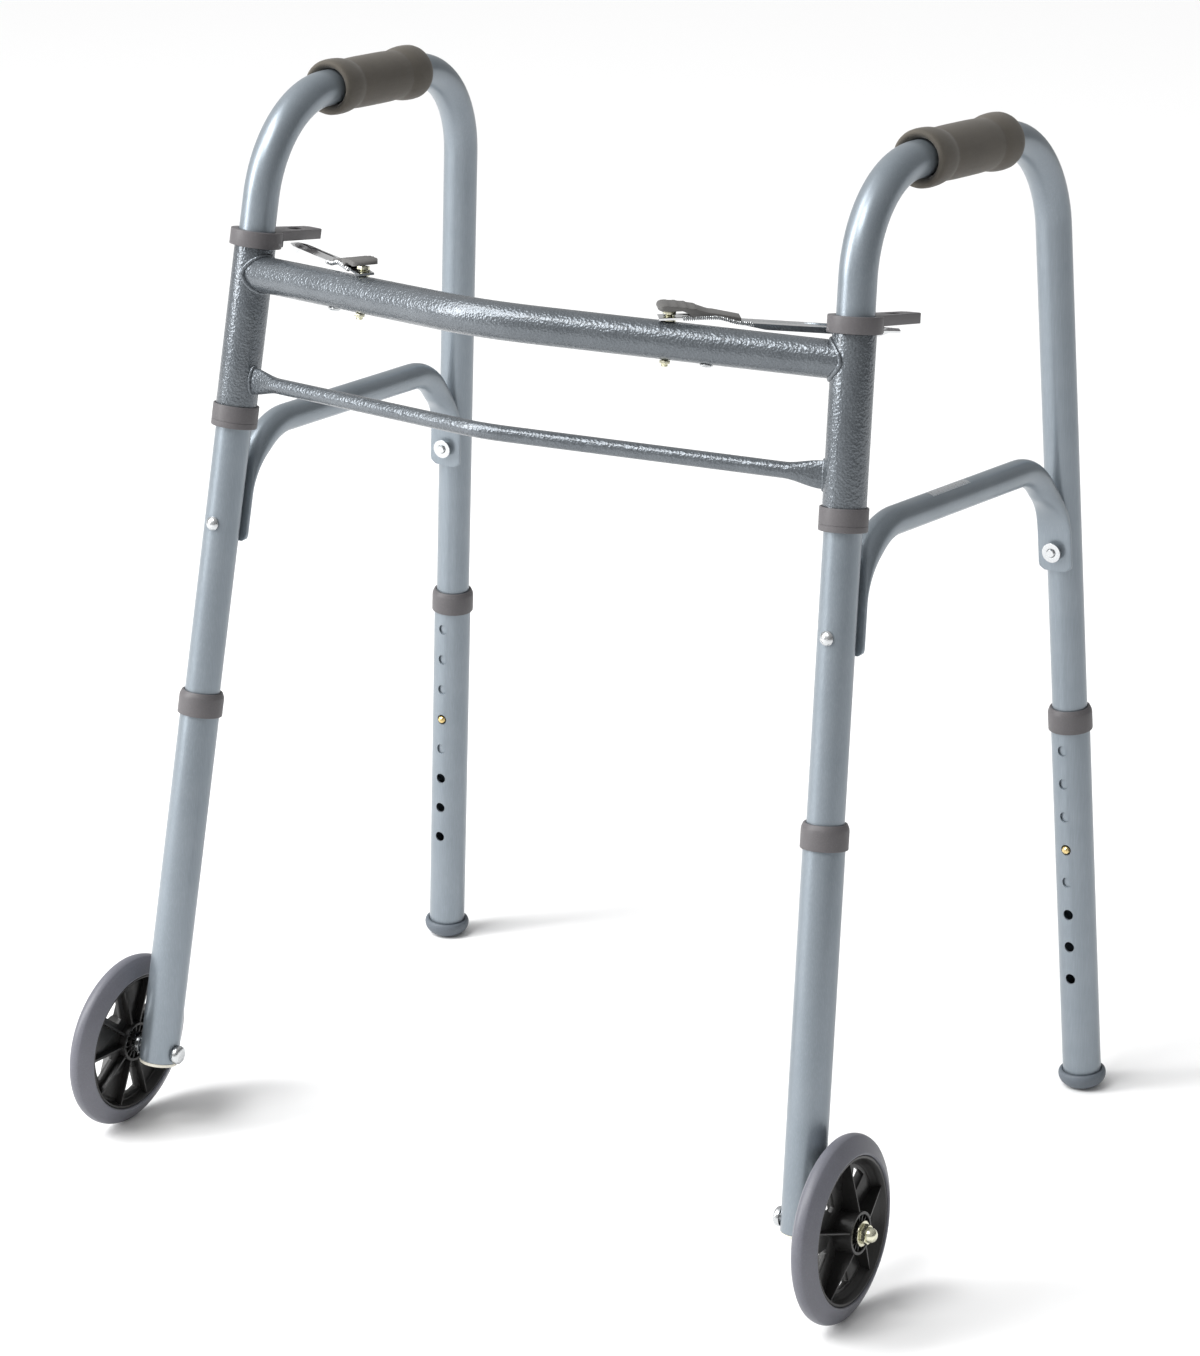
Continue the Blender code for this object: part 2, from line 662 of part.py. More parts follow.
def make_upper_crossbar():
    stations = bar_stations(UPPER_BAR_Z, UPPER_BAR_ANGLE, UPPER_BAR_BEND)
    points = [upper_bar_point(x) for x in stations]
    item = cope(tube("upper_crossbar", points, UPPER_BAR_RADIUS, UPPER_BAR_WALL), UPPER_BAR_Z)
    reach = 2.0 * UPPER_BAR_RADIUS
    for x in (LEVER_BOLT_X, -LEVER_BOLT_X):
        item = drill(item, bar_hole_matrix(x), LEVER_BOLT_RADIUS + GAP, -reach, reach)
    for x in (LEVER_RIVET_X, -LEVER_RIVET_X):
        item = drill(item, bar_hole_matrix(x), LEVER_BOLT_RADIUS + GAP, -reach, 0.0)
    return item


def make_lower_crossbar():
    """Rod whose ends are pressed into upright tabs where they meet the sleeves."""
    end = front_point(LOWER_BAR_Z).x
    half = LOWER_BAR_BEND * math.sin(LOWER_BAR_ANGLE)
    side = [(end - 2.0 * MM, 1.0), (end - 19.0 * MM, 0.95), (end - 26.0 * MM, 0.6), (end - 33.0 * MM, 0.2),
            (end - 40.0 * MM, 0.0)]
    middle = [(half * (1.0 - 2.0 * index / BEND_STEPS), 0.0) for index in range(BEND_STEPS + 1)]
    stations = side + middle + [(-x, flatness) for x, flatness in reversed(side)]
    upright = Vector((0.0, FRONT_AXIS.y, FRONT_AXIS.z)).normalized()
    rings = []
    for x, flatness in stations:
        centre = bar_point(x, LOWER_BAR_Z, LOWER_BAR_ANGLE, LOWER_BAR_BEND)
        before = bar_point(x + 1.0 * MM, LOWER_BAR_Z, LOWER_BAR_ANGLE, LOWER_BAR_BEND)
        after = bar_point(x - 1.0 * MM, LOWER_BAR_Z, LOWER_BAR_ANGLE, LOWER_BAR_BEND)
        depth_dir = upright.cross((after - before).normalized())
        high = LOWER_BAR_RADIUS + (LOWER_TAB_HALF_HEIGHT - LOWER_BAR_RADIUS) * flatness
        deep = LOWER_BAR_RADIUS + (LOWER_TAB_HALF_THICKNESS - LOWER_BAR_RADIUS) * flatness
        section = []
        for index in range(COARSE):
            angle = 2.0 * math.pi * index / COARSE
            section.append(centre + upright * high * math.cos(angle) + depth_dir * deep * math.sin(angle))
        rings.append(section)
    return cope(solid_loft("lower_crossbar", rings), LOWER_BAR_Z)


# ---------------------------------------------------------------- release lever

LEVER_BOLT_RADIUS = 2.4 * MM
LEVER_NUT_RADIUS = 4.6 * MM
LEVER_NUT_BOTTOM = 1.0 * MM         # above the strip
LEVER_NUT_HEIGHT = 2.4 * MM


def lever_height():
    """Underside of the lever's strip above the upper bar's centreline, at the bolt."""
    return UPPER_BAR_RADIUS + LEVER_CLEARANCE


def lever_matrix():
    """At the lever's bolt: local X along the strip to its tip, local Z up."""
    upright = Vector((0.0, FRONT_AXIS.y, FRONT_AXIS.z)).normalized()
    origin = upper_bar_point(LEVER_BOLT_X) + upright * lever_height()
    slot = front_matrix(COLLAR_TOP_Z) @ Vector((0.0, EAR_SLOT_CENTRE, 0.0))
    heading = slot - origin
    heading.z = 0.0
    return axes_matrix(origin, heading, Vector((0.0, 0.0, 1.0)))


def make_lever_strip():
    """Bent steel strip, level over the bar and then down; its tip stops just under the ear's slot."""
    under = [(-7.0 * MM, 0.0), (LEVER_KNEE_START, 0.0), (LEVER_KNEE_END, -LEVER_KNEE_DROP),
             (LEVER_LENGTH, -LEVER_DROP)]
    over = [(x, height + LEVER_STRIP) for x, height in reversed(under)]
    upright = lever_matrix() @ Matrix.Rotation(math.radians(90.0), 4, "X")
    item = plate("lever_strip", [under + over], 2.0 * LEVER_HALF_WIDTH, upright)
    return drill(item, lever_matrix(), LEVER_BOLT_RADIUS + 1.2 * MM, -5.0 * MM, 5.0 * MM)


def make_lever_pad():
    """Finger pad on the lever: raised over the bolt, with ridges, and a flat tail on the strip."""
    floor = LEVER_STRIP + GAP
    tail = 46.0 * MM
    drop = LEVER_KNEE_DROP * (tail - LEVER_KNEE_START) / (LEVER_KNEE_END - LEVER_KNEE_START)
    thick = 2.2 * MM
    under = [(-7.0 * MM, 6.6 * MM), (8.0 * MM, 6.5 * MM), (15.0 * MM, floor), (LEVER_KNEE_START, floor),
             (tail, floor - drop)]
    over = [(tail, floor - drop + thick), (LEVER_KNEE_START, floor + thick)]
    for x, height in ((25.0, 4.4), (21.0, 5.7), (17.0, 7.1), (16.0, 7.7), (11.0, 8.3), (10.0, 8.9),
                      (5.0, 9.2), (4.0, 9.7), (-1.0, 9.9), (-2.0, 10.2), (-5.0, 10.0), (-7.0, 9.0)):
        over.append((x * MM, height * MM))
    upright = lever_matrix() @ Matrix.Rotation(math.radians(90.0), 4, "X")
    return plate("lever_pad", [under + over], 2.0 * PAD_HALF_WIDTH, upright)


def make_lever_bolt():
    """Bolt through the upper bar that carries the lever, with its nut in one piece."""
    upright = bar_hole_matrix(LEVER_BOLT_X)
    seat = lever_height() + LEVER_STRIP + LEVER_NUT_BOTTOM
    top = seat + LEVER_NUT_HEIGHT
    bottom = -UPPER_BAR_RADIUS - 4.5 * MM
    profile = [(0.0, top), (LEVER_NUT_RADIUS, top), (LEVER_NUT_RADIUS, seat), (LEVER_BOLT_RADIUS, seat),
               (LEVER_BOLT_RADIUS, bottom), (0.0, bottom)]
    return turned("lever_bolt", profile, 12, upright)


def make_lever_rivet():
    """Rivet in the underside of the upper bar, below the lever."""
    head = -UPPER_BAR_RADIUS - 0.5 * MM
    profile = [(0.0, -8.0 * MM), (LEVER_BOLT_RADIUS, -8.0 * MM), (LEVER_BOLT_RADIUS, head),
               (4.4 * MM, head), (3.2 * MM, head - 1.6 * MM), (0.0, head - 1.9 * MM)]
    return turned("lever_rivet", profile, 12, bar_hole_matrix(LEVER_RIVET_X))


# ---------------------------------------------------------------- leg extensions

def front_button_matrix():
    """Local Z points out of the button's hole, to the rear."""
    return front_matrix(FRONT_BUTTON_Z) @ Matrix.Rotation(math.radians(-90.0), 4, "X")


def rear_button_matrix():
    """Local Z points out of the button's hole, to the front."""
    return rear_matrix(REAR_BUTTON_Z) @ Matrix.Rotation(math.radians(90.0), 4, "X")


def height_along(point_at, from_z, to_z):
    """Signed distance along a leg between two heights."""
    return math.copysign((point_at(to_z) - point_at(from_z)).length, to_z - from_z)


def extension_tube(name, matrix, bottom, top, holes_above, turn):
    """Tube with its origin at the snap button, and a row of holes on one side."""
    item = ring(name, EXTENSION_RADIUS, EXTENSION_BORE, bottom, top, steps=FINE, matrix=matrix)
    facing = Matrix.Rotation(math.radians(turn), 4, "X")
    for index in range(HOLE_COUNT):
        height = HOLE_PITCH * (holes_above - index)
        hole = matrix @ Matrix.Translation((0.0, 0.0, height)) @ facing
        item = drill(item, hole, HOLE_RADIUS, 0.0, 2.0 * EXTENSION_RADIUS)
    return item


def make_front_extension():
    matrix = front_matrix(FRONT_BUTTON_Z)
    bottom = height_along(front_point, FRONT_BUTTON_Z, FRONT_EXTENSION_END_Z)
    top = height_along(front_point, FRONT_BUTTON_Z, FRONT_CLAMP_TOP_Z) - 3.0 * MM
    item = extension_tube("front_extension", matrix, bottom, top, FRONT_HOLES_ABOVE, -90.0)
    return drill(item, wheel_matrix(), AXLE_RADIUS + 2.0 * GAP, -WHEEL_OFFSET - 20.0 * MM, 0.0)


def make_rear_extension():
    matrix = rear_matrix(REAR_BUTTON_Z)
    bottom = height_along(rear_point, REAR_BUTTON_Z, REAR_EXTENSION_END_Z)
    top = height_along(rear_point, REAR_BUTTON_Z, REAR_CLAMP_TOP_Z) - 3.0 * MM
    return extension_tube("rear_extension", matrix, bottom, top, REAR_HOLES_ABOVE, 90.0)


def leg_clamp(name, matrix):
    """Collar at an extension's upper end; local Z = 0 is its top."""
    edge = 1.6 * MM
    lip = 3.0 * MM - GAP
    bottom = -CLAMP_LENGTH
    seat = EXTENSION_RADIUS + GAP
    profile = [(CLAMP_RADIUS - edge, 0.0), (CLAMP_RADIUS - 0.4 * edge, -0.4 * edge), (CLAMP_RADIUS, -edge),
               (CLAMP_RADIUS, bottom), (seat, bottom), (seat, -lip), (LEG_RADIUS + GAP, -lip),
               (LEG_RADIUS + GAP, 0.0)]
    return turned(name, profile, FINE, matrix)


def make_glide_cap():
    """Cup on a rear extension, cut level with the floor."""
    matrix = rear_matrix(0.0)
    top = height_along(rear_point, 0.0, GLIDE_TOP_Z)
    floor = height_along(rear_point, 0.0, REAR_EXTENSION_END_Z) - GAP
    seat = EXTENSION_RADIUS + GAP
    below = -4.0 * MM
    profile = [(0.0, floor), (seat, floor), (seat, top), (GLIDE_RADIUS - 1.3 * MM, top),
               (GLIDE_RADIUS - 0.3 * MM, top - 1.4 * MM), (GLIDE_RADIUS, top - 3.5 * MM),
               (GLIDE_RADIUS - 0.6 * MM, 6.5 * MM), (GLIDE_RADIUS - 2.6 * MM, 3.4 * MM),
               (GLIDE_RADIUS - 5.4 * MM, 1.2 * MM), (GLIDE_RADIUS - 8.5 * MM, 0.2 * MM),
               (GLIDE_RADIUS - 10.0 * MM, below), (0.0, below)]
    item = turned("glide_cap", profile, FINE, matrix)
    shape = bmesh.new()
    shape.from_mesh(item.data)
    down = matrix.inverted().to_3x3() @ Vector((0.0, 0.0, -1.0))
    level = matrix.inverted() @ matrix.translation
    geometry = shape.verts[:] + shape.edges[:] + shape.faces[:]
    cut = bmesh.ops.bisect_plane(shape, geom=geometry, plane_co=level, plane_no=down, clear_outer=True)
    rim = [part for part in cut["geom_cut"] if isinstance(part, bmesh.types.BMEdge)]
    bmesh.ops.contextual_create(shape, geom=rim)
    bmesh.ops.remove_doubles(shape, verts=shape.verts, dist=0.001 * MM)
    shape.to_mesh(item.data)
    shape.free()
    return outward(item)


def make_end_plug():
    """Plug in the front extension's lower end."""
    top = 2.6 * MM
    matrix = front_matrix(FRONT_EXTENSION_END_Z)
    spigot = EXTENSION_BORE - GAP
    profile = [(0.0, top), (spigot, top), (spigot, -GAP), (EXTENSION_RADIUS - 0.2 * MM, -GAP),
               (EXTENSION_RADIUS - 0.2 * MM, -2.0 * MM), (EXTENSION_RADIUS - 1.0 * MM, -2.6 * MM),
               (0.0, -2.6 * MM)]
    return turned("end_plug", profile, FINE, matrix)


def snap_button(name, matrix):
    """Domed button with a foot, riding on a bent leaf spring inside the leg."""
    crown = EXTENSION_RADIUS + 2.3 * MM
    foot = LEG_RADIUS - LEG_WALL - 1.6 * MM
    base = foot - 1.6 * MM
    shape = [(0.0, crown), (1.5 * MM, crown - 0.35 * MM), (2.6 * MM, crown - 1.3 * MM),
             (BUTTON_RADIUS, crown - 2.6 * MM), (BUTTON_RADIUS, foot), (4.6 * MM, foot), (4.6 * MM, base),
             (0.0, base)]
    item = turned(name, shape, 12, matrix)
    thick = 0.7 * MM
    leaf = [(base + 0.5 * MM, 4.0 * MM), (base + 0.5 * MM, -6.0 * MM), (0.6 * MM, -34.0 * MM),
            (-0.6 * MM, -34.0 * MM), (-base + 0.2 * MM, 2.0 * MM), (-base + 0.2 * MM + thick, 2.0 * MM),
            (0.0, -34.0 * MM + 3.2 * MM), (base + 0.5 * MM - thick, -5.8 * MM), (base + 0.5 * MM - thick, 4.0 * MM)]
    spring = plate("leaf", [leaf], 5.0 * MM, leaf_matrix(matrix))
    return combine(item, spring, "UNION")


def leaf_matrix(matrix):
    """Local X out of the hole and local Y up the leg, for a button's own matrix."""
    out = matrix.to_3x3() @ Vector((0.0, 0.0, 1.0))
    side = matrix.to_3x3() @ Vector((1.0, 0.0, 0.0))
    up = out.cross(side)
    if up.z < 0.0:
        side = -side
    return axes_matrix(matrix.translation, out, side)


# ---------------------------------------------------------------- wheels

def make_tyre():
    half = WHEEL_HALF_WIDTH
    tread = WHEEL_RADIUS
    seat = RIM_RADIUS + GAP
    outer = [(seat + 1.6 * MM, half), (tread - 3.0 * MM, half - 4.4 * MM), (tread - 0.8 * MM, half - 6.2 * MM),
             (tread, half - 8.6 * MM)]
    profile = [(seat, half - 0.6 * MM)] + outer + [(radius, -height) for radius, height in reversed(outer)]
    profile += [(seat, -half + 0.6 * MM)]
    return turned("tyre", profile, WHEEL_STEPS, wheel_matrix())


def make_hub():
    """Rim, boss and five channel spokes, open between them."""
    half = WHEEL_HALF_WIDTH - 1.0 * MM
    matrix = wheel_matrix()
    web = 1.6 * MM
    rim = 3.0 * MM
    profile = [(RIM_RADIUS, half), (RIM_RADIUS, -half), (RIM_RADIUS - rim, -half), (RIM_RADIUS - rim, -web),
               (HUB_BOSS_RADIUS, -web), (HUB_BOSS_RADIUS, -half), (HUB_BORE, -half),
               (HUB_BORE, HUB_BOSS_OUTER), (HUB_BOSS_RADIUS, HUB_BOSS_OUTER), (HUB_BOSS_RADIUS, web), (RIM_RADIUS - rim, web), (RIM_RADIUS - rim, half)]
    item = turned("hub", profile, WHEEL_STEPS, matrix)
    inner = HUB_BOSS_RADIUS + 2.5 * MM
    outer = RIM_RADIUS - rim - 1.5 * MM
    for index in range(SPOKE_COUNT):
        middle = 360.0 * (index + 0.5) / SPOKE_COUNT
        spread = 17.0
        window = arc(0.0, 0.0, outer, middle - spread, middle + spread, 4)
        window += arc(0.0, 0.0, inner, middle + 0.4 * spread, middle - 0.4 * spread, 1)
        tool = plate("window", [window], 4.0 * web, matrix)
        item = combine(item, tool, "DIFFERENCE")
        ribs = matrix @ Matrix.Rotation(math.radians(360.0 * index / SPOKE_COUNT), 4, "Z")
        length = RIM_RADIUS - rim - HUB_BOSS_RADIUS + 2.0 * MM
        middle_x = HUB_BOSS_RADIUS - 1.0 * MM + length / 2
        shape = bmesh.new()
        size = Matrix.Diagonal((length / 2, 0.8 * MM, half - 1.5 * MM, 1.0))
        bmesh.ops.create_cube(shape, size=2.0, matrix=ribs @ Matrix.Translation((middle_x, 0.0, 0.0)) @ size)
        mesh = bpy.data.meshes.new("rib")
        shape.to_mesh(mesh)
        shape.free()
        item = combine(item, link("rib", mesh), "UNION")
    return item


def axle_pieces():
    """Axle bolt through the leg and wheel, its nut, and the spacer between leg and wheel."""
    matrix = wheel_matrix()
    inner_face = -WHEEL_OFFSET - EXTENSION_RADIUS - GAP
    nut_seat = HUB_BOSS_OUTER + GAP
    shank_end = nut_seat + 5.0 * MM
    head = 5.2 * MM
    head_radius = 6.8 * MM
    bolt = [(0.0, shank_end), (AXLE_RADIUS, shank_end), (AXLE_RADIUS, inner_face), (head_radius, inner_face),
            (head_radius, inner_face - head + 0.8 * MM), (head_radius - 1.4 * MM, inner_face - head),
            (0.0, inner_face - head)]
    bore = AXLE_RADIUS + GAP
    nut = [(0.0, nut_seat + 11.0 * MM), (2.6 * MM, nut_seat + 10.2 * MM), (4.4 * MM, nut_seat + 8.4 * MM),
           (5.2 * MM, nut_seat + 6.0 * MM), (7.0 * MM, nut_seat + 5.4 * MM), (7.0 * MM, nut_seat + 1.6 * MM),
           (8.6 * MM, nut_seat + 1.4 * MM), (8.6 * MM, nut_seat), (bore, nut_seat),
           (bore, shank_end + GAP), (0.0, shank_end + GAP)]
    gap_start = -WHEEL_OFFSET + EXTENSION_RADIUS + GAP
    return [
        turned("axle_bolt", bolt, COARSE, matrix),
        turned("axle_nut", nut, COARSE, matrix),
        ring("axle_spacer", 7.5 * MM, bore, gap_start, -WHEEL_HALF_WIDTH + 1.0 * MM - GAP, steps=COARSE,
             matrix=matrix),
    ]


# ---------------------------------------------------------------- the walker

def main():
    clear_scene()
    materials = make_materials()
    walker = bpy.data.collections.new("folding_walker")
    bpy.context.scene.collection.children.link(walker)
    both = (1, -1)

    def add(item, material, sides=both):
        finish(item, materials[material], walker, sides)

    add(make_sleeve(), "hammertone")
    add(make_sleeve_bushing(), "grey_plastic")
    add(make_upper_crossbar(), "hammertone", (1,))
    add(make_lower_crossbar(), "hammertone", (1,))
    add(make_lever_bolt(), "zinc")
    add(make_lever_rivet(), "zinc")
    add(make_lever_strip(), "chrome")
    add(make_lever_pad(), "grey_plastic")

    add(make_side_tube(), "anodised_tube")
    add(make_grip(), "grip_vinyl")
    add(make_brace(), "anodised_tube")
    add(make_latch_collar(), "grey_plastic")
    for fastener in brace_fasteners():
        add(fastener, "zinc")

    add(make_front_extension(), "anodised_tube")
    add(leg_clamp("front_leg_clamp", front_matrix(FRONT_CLAMP_TOP_Z)), "grey_plastic")
    add(make_end_plug(), "nylon")
    add(make_rear_extension(), "anodised_tube")
    add(leg_clamp("rear_leg_clamp", rear_matrix(REAR_CLAMP_TOP_Z)), "grey_plastic")
    add(make_glide_cap(), "glide_rubber")
    add(snap_button("front_snap_button", front_button_matrix()), "brass")
    add(snap_button("rear_snap_button", rear_button_matrix()), "brass")

    add(make_tyre(), "tyre_rubber")
    add(make_hub(), "hub_plastic")
    for piece in axle_pieces():
        add(piece, "zinc")


main()
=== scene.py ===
"""Looks of the folding walker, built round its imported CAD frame.

Every visible piece is modelled once, on the user's left (+X), and mirrored across X = 0.
"""
import math

import bmesh
import bpy
from mathutils import Matrix, Vector


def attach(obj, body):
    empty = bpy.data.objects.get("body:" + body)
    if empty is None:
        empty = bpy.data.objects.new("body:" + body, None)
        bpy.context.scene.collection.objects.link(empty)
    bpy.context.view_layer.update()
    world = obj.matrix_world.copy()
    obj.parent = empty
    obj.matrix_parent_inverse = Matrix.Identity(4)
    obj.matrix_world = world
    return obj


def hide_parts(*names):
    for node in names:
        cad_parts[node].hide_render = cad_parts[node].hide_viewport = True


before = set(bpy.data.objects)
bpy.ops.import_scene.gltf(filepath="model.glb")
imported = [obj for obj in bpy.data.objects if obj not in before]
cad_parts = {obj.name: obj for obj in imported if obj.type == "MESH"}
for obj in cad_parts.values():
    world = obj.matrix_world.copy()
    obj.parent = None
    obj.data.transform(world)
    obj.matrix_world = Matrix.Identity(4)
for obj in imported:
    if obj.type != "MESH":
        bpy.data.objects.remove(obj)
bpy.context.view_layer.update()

MM = 0.001
GAP = 0.3 * MM                      # running gap between neighbouring pieces

# The plane of the left side frame: leans in with height, opens out towards the rear.
LEAN_IN = 0.0578
OPEN_OUT = 0.0368
FRONT_FOOT_X = 264.9 * MM
FRONT_FOOT_Y = -191.15 * MM
FRONT_RAKE = 0.190                  # how far the front leg leans back for each metre of height
REAR_FOOT_Y = 225.3 * MM
REAR_RAKE = -0.0308

# Side frame: one bent tube, with a grip on its top run.
LEG_RADIUS = 12.5 * MM
LEG_WALL = 1.3 * MM
BEND_RADIUS = 76.0 * MM
TOP_RUN_Y = 19.85 * MM
TOP_RUN_Z = 728.2 * MM
TOP_RUN_SLOPE = -0.073
FRONT_LEG_END_Z = 170.0 * MM
REAR_LEG_END_Z = 153.0 * MM
GRIP_FRONT_Y = 17.0 * MM
GRIP_LENGTH = 115.0 * MM
GRIP_FLANGE_RADIUS = 19.6 * MM

# Brace across the side frame, a tube with flattened saddle ends.
BRACE_RADIUS = 9.8 * MM
BRACE_WALL = 1.3 * MM
BRACE_BEND_RADIUS = 58.0 * MM
BRACE_RUN_Y = 20.5 * MM
BRACE_RUN_Z = 504.0 * MM
BRACE_RUN_SLOPE = -0.073
BRACE_PLATE_HALF_WIDTH = 13.0 * MM
BRACE_PLATE_HALF_THICKNESS = 1.6 * MM
FRONT_BRACE_BOLT_Z = 442.5 * MM
FRONT_BRACE_END_Z = 427.0 * MM
REAR_BRACE_BOLT_Z = 418.0 * MM
REAR_BRACE_END_Z = 403.0 * MM
FRONT_PLATE_LENGTH = 34.0 * MM
REAR_PLATE_LENGTH = 26.0 * MM
BRACE_CRUSH_LENGTH = 48.0 * MM

# Front frame: two sleeves in which the front legs turn, joined by two bowed bars.
SLEEVE_RADIUS = 14.3 * MM
SLEEVE_BORE = 13.1 * MM
SLEEVE_TOP_Z = 633.4 * MM
BUSHING_TOP_Z = 524.9 * MM
BUSHING_BOTTOM_Z = 509.6 * MM
BUSHING_RADIUS = 16.1 * MM
UPPER_BAR_Z = 615.7 * MM
UPPER_BAR_RADIUS = 12.5 * MM
UPPER_BAR_WALL = 1.5 * MM
UPPER_BAR_ANGLE = math.radians(17.6)
UPPER_BAR_BEND = 130.0 * MM
LOWER_BAR_Z = 543.0 * MM
LOWER_BAR_RADIUS = 5.4 * MM
LOWER_BAR_ANGLE = math.radians(14.1)
LOWER_BAR_BEND = 70.0 * MM
LOWER_TAB_HALF_HEIGHT = 9.2 * MM
LOWER_TAB_HALF_THICKNESS = 2.8 * MM

# Latch: a collar with an ear on each side frame, and a lever on the upper bar.
COLLAR_TOP_Z = 644.5 * MM
COLLAR_RADIUS = 18.0 * MM
COLLAR_THICKNESS = 11.0 * MM
EAR_THICKNESS = 6.8 * MM
EAR_LENGTH = 76.0 * MM
EAR_HALF_WIDTH = 7.6 * MM
EAR_SLOT_CENTRE = 50.0 * MM
EAR_SLOT_LENGTH = 16.0 * MM
EAR_SLOT_WIDTH = 7.5 * MM
LEVER_BOLT_X = 118.0 * MM
LEVER_RIVET_X = 144.0 * MM
LEVER_CLEARANCE = 1.7 * MM          # between the upper bar and the lever's strip
LEVER_HALF_WIDTH = 5.5 * MM
LEVER_STRIP = 1.6 * MM
LEVER_LENGTH = 150.0 * MM
LEVER_DROP = 13.8 * MM              # how much lower the strip is at its tip than at its bolt
LEVER_KNEE_START = 28.0 * MM        # where the strip turns down, along the lever
LEVER_KNEE_END = 48.0 * MM
LEVER_KNEE_DROP = 4.4 * MM
PAD_HALF_WIDTH = 9.0 * MM

# Leg extensions with their height adjustment.
EXTENSION_RADIUS = 14.0 * MM
EXTENSION_BORE = 12.8 * MM
HOLE_PITCH = 25.4 * MM
HOLE_COUNT = 8
HOLE_RADIUS = 3.8 * MM
FRONT_BUTTON_Z = 216.0 * MM
REAR_BUTTON_Z = 191.1 * MM
FRONT_HOLES_ABOVE = 4
REAR_HOLES_ABOVE = 3
CLAMP_RADIUS = 15.9 * MM
CLAMP_LENGTH = 17.0 * MM
FRONT_CLAMP_TOP_Z = 323.4 * MM
REAR_CLAMP_TOP_Z = 297.3 * MM
FRONT_EXTENSION_END_Z = 55.0 * MM
REAR_EXTENSION_END_Z = 6.5 * MM
GLIDE_RADIUS = 17.5 * MM
GLIDE_TOP_Z = 13.0 * MM

# Wheels.
WHEEL_RADIUS = 63.5 * MM
WHEEL_HALF_WIDTH = 9.5 * MM
WHEEL_CENTRE_Z = 63.52 * MM
WHEEL_OFFSET = 29.0 * MM            # from the leg's axis to the wheel's middle plane
RIM_RADIUS = 50.0 * MM
HUB_BOSS_RADIUS = 14.5 * MM
HUB_BOSS_OUTER = 14.6 * MM             # from the wheel's middle plane to the boss's outer face
HUB_BORE = 4.4 * MM
AXLE_RADIUS = 4.0 * MM
SPOKE_COUNT = 5

# Facets: how finely round pieces are cut.
FINE = 64
COARSE = 24
WHEEL_STEPS = 128
BEND_STEPS = 24

MIRROR = Matrix.Diagonal((-1.0, 1.0, 1.0, 1.0))
IDENTITY = Matrix.Identity(4)


def side_point(y, z):
    """Point of the left side frame's plane."""
    return Vector((FRONT_FOOT_X + OPEN_OUT * (y - FRONT_FOOT_Y) - LEAN_IN * z, y, z))


def front_point(z):
    return side_point(FRONT_FOOT_Y + FRONT_RAKE * z, z)


def rear_point(z):
    return side_point(REAR_FOOT_Y + REAR_RAKE * z, z)


SIDE_NORMAL = Vector((1.0, -OPEN_OUT, LEAN_IN)).normalized()
FRONT_AXIS = (front_point(1.0) - front_point(0.0)).normalized()
REAR_AXIS = (rear_point(1.0) - rear_point(0.0)).normalized()


def axes_matrix(origin, x_axis, z_axis):
    """Placement whose Z follows z_axis and whose X is as close to x_axis as that allows."""
    z_dir = z_axis.normalized()
    y_dir = z_dir.cross(x_axis).normalized()
    x_dir = y_dir.cross(z_dir)
    rotation = Matrix((x_dir, y_dir, z_dir)).transposed()
    return Matrix.Translation(origin) @ rotation.to_4x4()


def front_matrix(z):
    """On the front leg's axis: local Z up the leg, local X outwards, local Y to the rear."""
    return axes_matrix(front_point(z), SIDE_NORMAL, FRONT_AXIS)


def rear_matrix(z):
    return axes_matrix(rear_point(z), SIDE_NORMAL, REAR_AXIS)


def wheel_matrix():
    """Wheel centre: local Z along the axle, outwards, square to the leg; local Y up."""
    axle = (Vector((1.0, 0.0, 0.0)) - FRONT_AXIS.x * FRONT_AXIS).normalized()
    centre = front_point(WHEEL_CENTRE_Z - WHEEL_OFFSET * axle.z) + WHEEL_OFFSET * axle
    up = (Vector((0.0, 0.0, 1.0)) - axle.z * axle).normalized()
    return axes_matrix(centre, -up.cross(axle), axle)


# ---------------------------------------------------------------- mesh making

def link(name, mesh, matrix=IDENTITY):
    """New object at the origin, its mesh already in place."""
    mesh.transform(matrix)
    item = bpy.data.objects.new(name, mesh)
    bpy.context.scene.collection.objects.link(item)
    return item


def bake(item):
    """Replace an object by the plain mesh its modifiers give."""
    graph = bpy.context.evaluated_depsgraph_get()
    graph.update()
    mesh = bpy.data.meshes.new_from_object(item.evaluated_get(graph))
    name = item.name
    bpy.data.objects.remove(item)
    return link(name, mesh)


def outward(item):
    """Turn every face outwards."""
    shape = bmesh.new()
    shape.from_mesh(item.data)
    bmesh.ops.recalc_face_normals(shape, faces=shape.faces)
    if shape.calc_volume(signed=True) < 0.0:
        bmesh.ops.reverse_faces(shape, faces=shape.faces)
    shape.to_mesh(item.data)
    shape.free()
    return item


def skin(shape, rows, flip=False):
    """Quads between neighbouring rings of vertices."""
    count = len(rows[0])
    for low, high in zip(rows, rows[1:]):
        for index in range(count):
            after = (index + 1) % count
            corners = (low[index], low[after], high[after], high[index])
            shape.faces.new(corners[::-1] if flip else corners)


def hollow_loft(name, outer_rings, inner_rings):
    """Tube of changing section: an outer and an inner skin, joined at both open ends."""
    shape = bmesh.new()
    outer = [[shape.verts.new(point) for point in section] for section in outer_rings]
    inner = [[shape.verts.new(point) for point in section] for section in inner_rings]
    skin(shape, outer)
    skin(shape, inner, flip=True)
    skin(shape, [inner[0], outer[0]])
    skin(shape, [outer[-1], inner[-1]])
    mesh = bpy.data.meshes.new(name)
    shape.to_mesh(mesh)
    shape.free()
    return outward(link(name, mesh))


